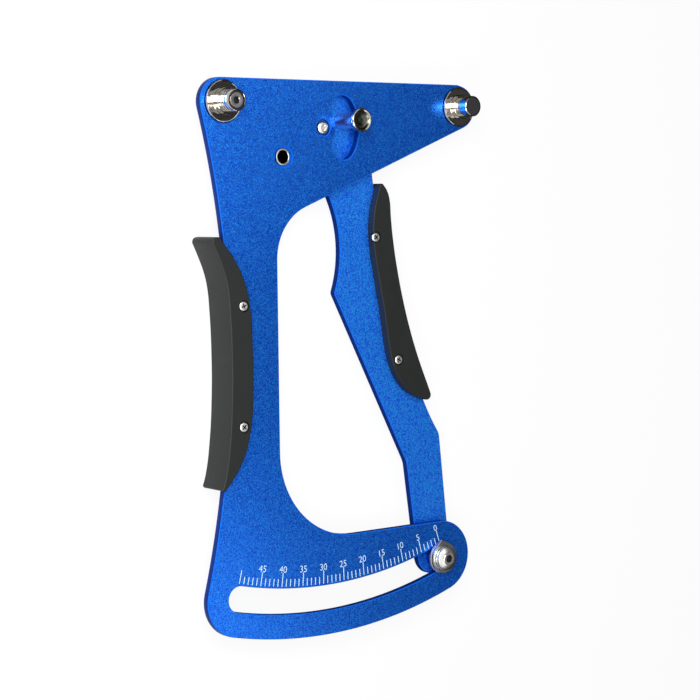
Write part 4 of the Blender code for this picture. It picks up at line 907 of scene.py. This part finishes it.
class METER_OT_screws(bpy.types.Operator):
    """Build the pivot screw, the hollow stud and the grips' cross-head screws"""
    bl_idname = "meter.screws"
    bl_label = "Screws"

    def execute(self, context):
        low, high = levels("pivot_screw")
        profile = below(high, ((0, 0.4), (0.75, 0.4), (0.9, 0.35), (1.05, 0.05), (1.2, 0), (1.7, 0.06),
                               (2.1, 0.22), (2.4, 0.5), (2.5, 0.8), (2.5, 1.4), (2.0, 1.4)))
        profile += [(2.0, low + 0.3), (1.7, low), (0, low)]
        finish_piece(turned(profile, (0, 0)), "pivot_screw_steel", "body", "pivot_screw",
                     ["steel_pivot_screw"])
        low, high = levels("spring_stud_body")
        ring = below(high, ((0, 3.0), (2.45, 3.0), (2.45, 0.3), (2.5, 0.1), (2.6, 0), (2.95, 0),
                            (3.1, 0.06), (3.15, 0.25)))
        ring += [(3.15, PLATE_LOW - 0.2), (2.4, PLATE_LOW - 0.2), (2.4, low + 2.1), (1.5, low + 2.1),
                 (1.5, low + 0.8), (2.2, low + 0.8), (2.2, low + 0.2), (2.0, low), (0, low)]
        work = turned(ring, SPRING_STUD)
        # The stud's bore takes painted shade.
        darken(work, SPRING_STUD, PLATE_LOW - 0.5, -1, 2.46)
        finish_piece(work, "spring_stud_ring", "body", "spring_stud_body",
                     ["steel_spring_stud_body", "socket_painted_shade"])
        for side, body, places, turns in (
                ("left", "body", grip_places(left_grip(), LEFT_SCREWS), (22, 47)),
                ("right", "lever", grip_places(right_grip(), RIGHT_SCREWS), (40, 63))):
            for end, place, turn in zip(("upper", "lower"), places, turns):
                node = side + "_grip_screw_" + end
                low, high = levels(node)
                profile = below(high, ((1.35, 0), (1.6, 0.08), (1.78, 0.25), (1.88, 0.5), (1.9, 0.75),
                                       (1.9, 1.3), (1.8, 1.4), (1.25, 1.4)))
                profile += [(1.25, low + 0.3), (1.0, low), (0, low)]
                work = turned(profile, place, 48)
                recess(work, place, high, cross(2.2, 0.5, turn), 0.9, 0.6)
                # The head's side in its seat takes painted shade for the shadow gap round the screw.
                darken(work, place, low, 1.87, 1.95)
                finish_piece(work, node + "_zinc", body, node, ["zinc_bright", "socket_painted_shade"])
        return {"FINISHED"}


# Grips

def left_grip():
    """Middle of the left grip, its way down and in, and its half length."""
    middle = (BACK_EDGE[0][0] + BACK_EDGE[1], LEFT_GRIP_DOWN * ARM_OUTER_RADIUS)
    return middle, (0, -1), (1, 0), LEFT_GRIP_HALF * ARM_OUTER_RADIUS


def right_grip():
    """Middle of the right grip, its way down and in, and its half length."""
    run = Vector(LEVER_EDGE_LOW) - Vector(LEVER_EDGE_TOP)
    down = run.normalized()
    middle = Vector(LEVER_EDGE_TOP) + RIGHT_GRIP_DOWN * run
    return tuple(middle), tuple(down), (down.y, -down.x), RIGHT_GRIP_HALF * run.length


def grip_places(grip, shares):
    """Places on a grip from their shares along and across it."""
    middle, down, inward, half_length = grip
    return [(middle[0] + along * half_length * down[0] + across * GRIP_WIDTH * inward[0],
             middle[1] + along * half_length * down[1] + across * GRIP_WIDTH * inward[1])
            for along, across in shares]


def round_corner(work, corner, radius):
    """Swap a sharp corner of an outline for an arc."""
    ends, passed = [], [corner]
    sides = [edge.other_vert(corner) for edge in corner.link_edges]
    ways = [(side.co - corner.co).normalized() for side in sides]
    half = ways[0].angle(ways[1]) / 2
    near = radius / tan(half)
    centre = corner.co + (ways[0] + ways[1]).normalized() * radius / sin(half)
    for side in sides:
        before, here = corner, side
        while (here.co - corner.co).length < near * 1.02:
            passed.append(here)
            beside = [edge.other_vert(here) for edge in here.link_edges]
            before, here = here, next(vert for vert in beside if vert != before)
        ends.append(here)
    start = work.verts.new(corner.co + ways[0] * near)
    goal = corner.co + ways[1] * near
    side = 1 if (start.co - centre).cross(goal - centre).z > 0 else -1
    arc = bmesh.ops.spin(work, geom=[start], cent=centre, axis=(0, 0, 1), angle=side * (pi - 2 * half),
                         steps=8, use_duplicate=False)
    last = of_kind(arc["geom_last"], bmesh.types.BMVert)[0]
    work.edges.new((ends[0], start))
    work.edges.new((last, ends[1]))
    bmesh.ops.delete(work, geom=passed, context="VERTS")


def grip_face(grip, inner, tip, palm, radii, level):
    """Flat face in a grip's outline, which is a smooth curve with three rounded corners."""
    places = grip_places(grip, inner + (tip,) + palm)
    corners = (0, len(inner), len(places) - 1)
    curve = bpy.data.curves.new("grip_outline", "CURVE")
    curve.dimensions = "2D"
    curve.fill_mode = "NONE"
    curve.resolution_u = 6
    spline = curve.splines.new("BEZIER")
    spline.bezier_points.add(len(places) - 1)
    for number, (point, (x, y)) in enumerate(zip(spline.bezier_points, places)):
        point.co = (x, y, 0)
        kind = "VECTOR" if number in corners else "AUTO"
        point.handle_left_type = kind
        point.handle_right_type = kind
    spline.use_cyclic_u = True
    holder = in_scene("grip_outline", curve)
    mesh = final_mesh(holder)
    work = bmesh.new()
    work.from_mesh(mesh)
    bpy.data.objects.remove(holder)
    bpy.data.meshes.remove(mesh)
    bmesh.ops.remove_doubles(work, verts=work.verts, dist=MERGE)
    marked = [min(work.verts, key=lambda vert: (vert.co.xy - Vector(places[number])).length)
              for number in corners]
    for corner, radius in zip(marked, radii):
        round_corner(work, corner, radius)
    bmesh.ops.remove_doubles(work, verts=work.verts, dist=GRIP_POINT_GAP)
    bmesh.ops.translate(work, vec=(0, 0, level), verts=work.verts)
    bmesh.ops.contextual_create(work, geom=list(work.edges))
    return work


def shell(work, low, high, low_rim, high_rim):
    """Raise a flat face to a slab between two levels, and round its rims."""
    made = bmesh.ops.extrude_face_region(work, geom=list(work.faces))
    bmesh.ops.translate(work, vec=(0, 0, high - low), verts=of_kind(made["geom"], bmesh.types.BMVert))
    for level, rim in ((high, high_rim), (low, low_rim)):
        edges = [edge for edge in work.edges if all(abs(vert.co.z - level) < MERGE for vert in edge.verts)]
        if rim:
            bmesh.ops.bevel(work, geom=edges, offset=rim, offset_type="OFFSET", segments=5, profile=0.5,
                            affect="EDGES", clamp_overlap=True, material=-1)
    return work


def carve(piece, cutters):
    """Cut tools out of a piece and throw them away."""
    for cutter in cutters:
        cutter.parent = None
        boolean = piece.modifiers.new("cut", "BOOLEAN")
        boolean.operation = "DIFFERENCE"
        boolean.solver = "EXACT"
        boolean.object = cutter
    mesh = final_mesh(piece)
    piece.modifiers.clear()
    old = piece.data
    piece.data = mesh
    mesh.name = old.name
    work = bmesh.new()
    work.from_mesh(mesh)
    crease(work)
    work.to_mesh(mesh)
    work.free()
    for cutter in cutters:
        bpy.data.objects.remove(cutter)


def seat_tool(place, radius, low, high):
    """Round cutting tool."""
    work = bmesh.new()
    bmesh.ops.create_cone(work, cap_ends=True, segments=64, radius1=radius, radius2=radius, depth=high - low,
                          matrix=Matrix.Translation((place[0], place[1], (low + high) / 2)))
    return finish_piece(work, "tool", None, None, [])


def bed_tool(centre, radius, side, low_y, high_y, low, high):
    """Tool that clears the plate's side of a long curved edge."""
    angles = [asin((y - centre[1]) / radius) for y in (low_y, high_y)]
    if side < 0:
        angles = [pi - angle for angle in angles]
    work = bmesh.new()
    start = work.verts.new((centre[0] + radius * cos(angles[0]), centre[1] + radius * sin(angles[0]), low))
    bmesh.ops.spin(work, geom=[start], cent=(centre[0], centre[1], low), axis=(0, 0, 1),
                   angle=angles[1] - angles[0], steps=48, use_duplicate=False)
    for way in ((side * 60, 0, 0), (0, 0, high - low)):
        if work.faces:
            made = bmesh.ops.extrude_face_region(work, geom=list(work.faces))
        else:
            made = bmesh.ops.extrude_edge_only(work, edges=list(work.edges))
        bmesh.ops.translate(work, vec=way, verts=of_kind(made["geom"], bmesh.types.BMVert))
    return finish_piece(work, "tool", None, None, [])


class METER_OT_grips(bpy.types.Operator):
    """Mould the front and back shells of both grips"""
    bl_idname = "meter.grips"
    bl_label = "Grips"

    def execute(self, context):
        sizes = context.scene.meter_sizes
        rim, back_rim = sizes.grip_rim / MM, sizes.grip_back_rim / MM
        edge = lever_edge_centre()
        for side, grip, shares, radii, screws, bed, face_z, body in (
                ("left", left_grip(), (LEFT_INNER, LEFT_TIP, LEFT_PALM), (2.0, 0.9, 1.7), LEFT_SCREWS,
                 (*BACK_EDGE, 1), PLATE_HIGH, "body"),
                ("right", right_grip(), (RIGHT_INNER, RIGHT_TIP, RIGHT_PALM), (1.0, 1.9, 1.0), RIGHT_SCREWS,
                 (edge, LEVER_EDGE_RADIUS, -1), LEVER_HIGH, "lever")):
            low, high = levels(side + "_grip_front")
            work = shell(grip_face(grip, *shares, radii, low), low, high, 0, rim)
            front = finish_piece(work, side + "_grip_front_shell", body, side + "_grip_front",
                                 ["grip_plastic_black"])
            places = grip_places(grip, screws)
            # How far the shell reaches up and down, about the pivot
            ys = [vert.co.y / MM - PIVOT.y / MM for vert in front.data.vertices]
            tools = [bed_tool(bed[0], bed[1] - BED_LAP, bed[2], min(ys) - 2, max(ys) + 2,
                              low - 1, face_z + 0.1)]
            tools += [seat_tool(place, SCREW_SEAT_RADIUS, high - SCREW_SEAT_DEPTH, high + 1)
                      for place in places]
            carve(front, tools)
            parting = low
            low = levels(side + "_grip_back")[0]
            work = shell(grip_face(grip, *shares, radii, low), low, parting, back_rim, 0)
            finish_piece(work, side + "_grip_back_shell", body, side + "_grip_back",
                         ["grip_plastic_black"])
        return {"FINISHED"}


# Printed scale

class METER_OT_scale(bpy.types.Operator):
    """Print the scale's marks and numbers on the body plate"""
    bl_idname = "meter.scale"
    bl_label = "Scale"

    def execute(self, context):
        sizes = context.scene.meter_sizes
        width = sizes.tick_width / MM
        level = PLATE_HIGH + PRINT_LIFT
        work = bmesh.new()
        numbers = []
        for number in range(SCALE_COUNT + 1):
            long = number % 5 == 0
            top = LONG_TICK_TOP if long else SHORT_TICK_TOP
            turn = Matrix.Rotation(radians(SCALE_ZERO_ANGLE - SCALE_DIVISION * number), 4, "Z")
            made = bmesh.ops.create_cube(work, size=1)
            place = (turn @ Matrix.Translation((0, -(top + TICK_FOOT) / 2, level))
                     @ Matrix.Diagonal((width, TICK_FOOT - top, PRINT_THICKNESS, 1)))
            bmesh.ops.transform(work, matrix=place, verts=made["verts"])
            if long and number < SCALE_COUNT:
                numbers.append((number, turn @ Matrix.Translation((NUMBER_ASIDE, -NUMBER_FOOT, level))))
        for number, place in numbers:
            text = bpy.data.curves.new("number", "FONT")
            text.body = str(number)
            text.size = sizes.number_height / MM
            text.align_x = "CENTER"
            text.extrude = PRINT_THICKNESS / 2
            text.offset = NUMBER_OFFSET
            text.resolution_u = 4
            holder = in_scene("number", text)
            mesh = final_mesh(holder)
            mesh.transform(place)
            work.from_mesh(mesh)
            bpy.data.objects.remove(holder)
            bpy.data.meshes.remove(mesh)
        finish_piece(work, "scale_marks", "body", None, ["scale_print"])
        return {"FINISHED"}


class METER_OT_carried(bpy.types.Operator):
    """Give the pieces that keep their solids their materials"""
    bl_idname = "meter.carried"
    bl_label = "Small pieces"

    def execute(self, context):
        finishes = {node: "zinc_" + node for node in ZINC_NODES}
        finishes.update(return_spring="spring_wire", pivot_bush="bearing_nylon", pivot_washer="bearing_nylon")
        for node, finish in finishes.items():
            mesh = frame["nodes"][node].data
            mesh.materials.clear()
            mesh.materials.append(bpy.data.materials[finish])
        return {"FINISHED"}


# Studio

def add_light(name, place, target, size, power):
    """An area light that faces a target."""
    light = bpy.data.lights.new(name, "AREA")
    light.shape = "RECTANGLE"
    light.size, light.size_y = size
    light.energy = power
    item = in_scene(name, light)
    item.location = place
    item.rotation_mode = "QUATERNION"
    item.rotation_quaternion = (target - place).to_track_quat("-Z", "Y")


def add_card(name, place, target, width, height):
    """A black card that faces a target and shows in reflections only."""
    work = bmesh.new()
    turn = (target - place).to_track_quat("Z", "Y").to_matrix().to_4x4()
    bmesh.ops.create_grid(work, x_segments=1, y_segments=1, size=0.5)
    bmesh.ops.scale(work, vec=(width, height, 1), verts=work.verts)
    bmesh.ops.transform(work, matrix=Matrix.Translation(place) @ turn, verts=work.verts)
    card = in_scene(name, new_mesh(work, name))
    card.data.materials.append(bpy.data.materials["card_black"])
    for ray in ("camera", "diffuse", "shadow", "transmission"):
        setattr(card, "visible_" + ray, False)


def backdrop(owner, lit, white, output, share):
    """Nodes that light as usual, but look plain white to the camera, in mirrors and through glass."""
    nodes = Nodes(owner)
    nodes.tree.nodes.clear()
    rays = nodes.node("ShaderNodeLightPath", output="Is Camera Ray")
    for ray in ("Is Glossy Ray", "Is Transmission Ray"):
        path = nodes.node("ShaderNodeLightPath", output=ray)
        rays = rays.maths("MAXIMUM", rays, path)
    shaders = [nodes.node(kind, None, sockets) for kind, sockets in (lit, white)]
    mix = nodes.node("ShaderNodeMixShader", None, {0: rays * share, 1: shaders[0], 2: shaders[1]})
    nodes.node(output, None, {"Surface": mix})


class METER_OT_studio(bpy.types.Operator):
    """Set the floor, the lights, the sky and the camera"""
    bl_idname = "meter.studio"
    bl_label = "Studio"

    def execute(self, context):
        scene = context.scene
        settings = scene.meter_studio
        middle = (CAD_BOX[0] + CAD_BOX[1]) / 2
        pale = (0.92, 0.92, 0.92, 1)
        white = (1, 1, 1, 1)

        work = bmesh.new()
        bmesh.ops.create_grid(work, x_segments=1, y_segments=1, size=4)
        bmesh.ops.translate(work, vec=(0, 0, -0.0002), verts=work.verts)
        floor = in_scene("floor", new_mesh(work, "floor"))
        paper = bpy.data.materials.new("floor_white")
        backdrop(paper, ("ShaderNodeBsdfDiffuse", {"Color": pale}), ("ShaderNodeEmission", {}),
                 "ShaderNodeOutputMaterial", 0.9)
        floor.data.materials.append(paper)
        scene.world = bpy.data.worlds.new("studio")
        backdrop(scene.world, ("ShaderNodeBackground", {"Color": white, "Strength": settings.sky_strength}),
                 ("ShaderNodeBackground", {"Color": white}), "ShaderNodeOutputWorld", 1.0)

        right = Vector(CAMERA_RIGHT).normalized()
        ahead = Vector(CAMERA_AHEAD).normalized()
        up = right.cross(ahead).normalized()
        data = bpy.data.cameras.new("camera")
        data.lens = CAMERA_LENS
        data.sensor_width = 36
        camera = in_scene("camera", data)
        turn = Matrix((right, up, -ahead)).transposed().to_4x4()
        eye = Vector(CAMERA_PLACE) * CAMERA_REACH + PIVOT + Vector((0, 0, CAMERA_LEVEL))
        camera.matrix_world = Matrix.Translation(eye) @ turn
        scene.camera = camera

        for name, place, size, power in (
                ("key", (-0.25, 0.18, 0.33), (0.22, 0.22), settings.key_power),
                ("fill", (-0.30, -0.16, 0.33), (0.22, 0.22), settings.fill_power),
                ("sheen_top", (0.22, 0.15, 0.48), (0.2, 0.2), settings.sheen_power),
                ("sheen_low", (0.26, -0.26, 0.48), (0.28, 0.2), settings.sheen_power * 1.3)):
            add_light(name, middle + Vector(place), middle, size, power)
        black = bpy.data.materials.new("card_black")
        black.use_nodes = True
        black.node_tree.nodes["Principled BSDF"].inputs["Base Color"].default_value = (0.01, 0.01, 0.01, 1)
        for name, base, place, target, width, height in (
                ("card_right", middle, (0.34, 0, 0.30), (0, 0, 0.24), 1.1, 0.72),
                ("card_floor", Vector(), (0.35, 0, -0.0001), (0.35, 0, 1), 0.8, 1.0),
                ("card_post", Vector(), (0.255, 0.121, 0.465), (-0.055, 0.096, 0.015), 0.08, 0.08),
                ("card_top", middle, (0.1, 0.40, 0.14), (0.1, 0, 0.14), 0.8, 0.3),
                ("card_low", middle, (0.1, -0.42, 0.14), (0.1, 0, 0.14), 0.8, 0.3)):
            add_card(name, base + Vector(place), base + Vector(target), width, height)
        scene.view_settings.view_transform = "Standard"
        return {"FINISHED"}


class METER_PT_panel(bpy.types.Panel):
    bl_label = "Tension Meter"
    bl_idname = "METER_PT_panel"
    bl_space_type = "VIEW_3D"
    bl_region_type = "UI"
    bl_category = "Tension Meter"

    def draw(self, context):
        scene = context.scene
        for group in (scene.meter_sizes, scene.meter_colours, scene.meter_studio):
            box = self.layout.box()
            for key in group.__annotations__:
                box.prop(group, key)
        column = self.layout.column(align=True)
        for operator in OPERATORS:
            column.operator(operator.bl_idname)


OPERATORS = (METER_OT_finishes, METER_OT_body_plate, METER_OT_lever_plate, METER_OT_posts, METER_OT_pointer,
             METER_OT_screws, METER_OT_grips, METER_OT_scale, METER_OT_carried, METER_OT_studio)
CLASSES = (MeterSizes, MeterColours, StudioSettings) + OPERATORS + (METER_PT_panel,)


def register():
    for item in CLASSES:
        bpy.utils.register_class(item)
    bpy.types.Scene.meter_sizes = PointerProperty(type=MeterSizes)
    bpy.types.Scene.meter_colours = PointerProperty(type=MeterColours)
    bpy.types.Scene.meter_studio = PointerProperty(type=StudioSettings)


def unregister():
    del bpy.types.Scene.meter_studio
    del bpy.types.Scene.meter_colours
    del bpy.types.Scene.meter_sizes
    for item in reversed(CLASSES):
        bpy.utils.unregister_class(item)


def main():
    register()
    bpy.ops.meter.finishes()
    bpy.ops.meter.body_plate()
    bpy.ops.meter.lever_plate()
    bpy.ops.meter.posts()
    bpy.ops.meter.pointer()
    bpy.ops.meter.screws()
    bpy.ops.meter.grips()
    bpy.ops.meter.scale()
    bpy.ops.meter.carried()
    bpy.ops.meter.studio()


if __name__ == "__main__":
    main()
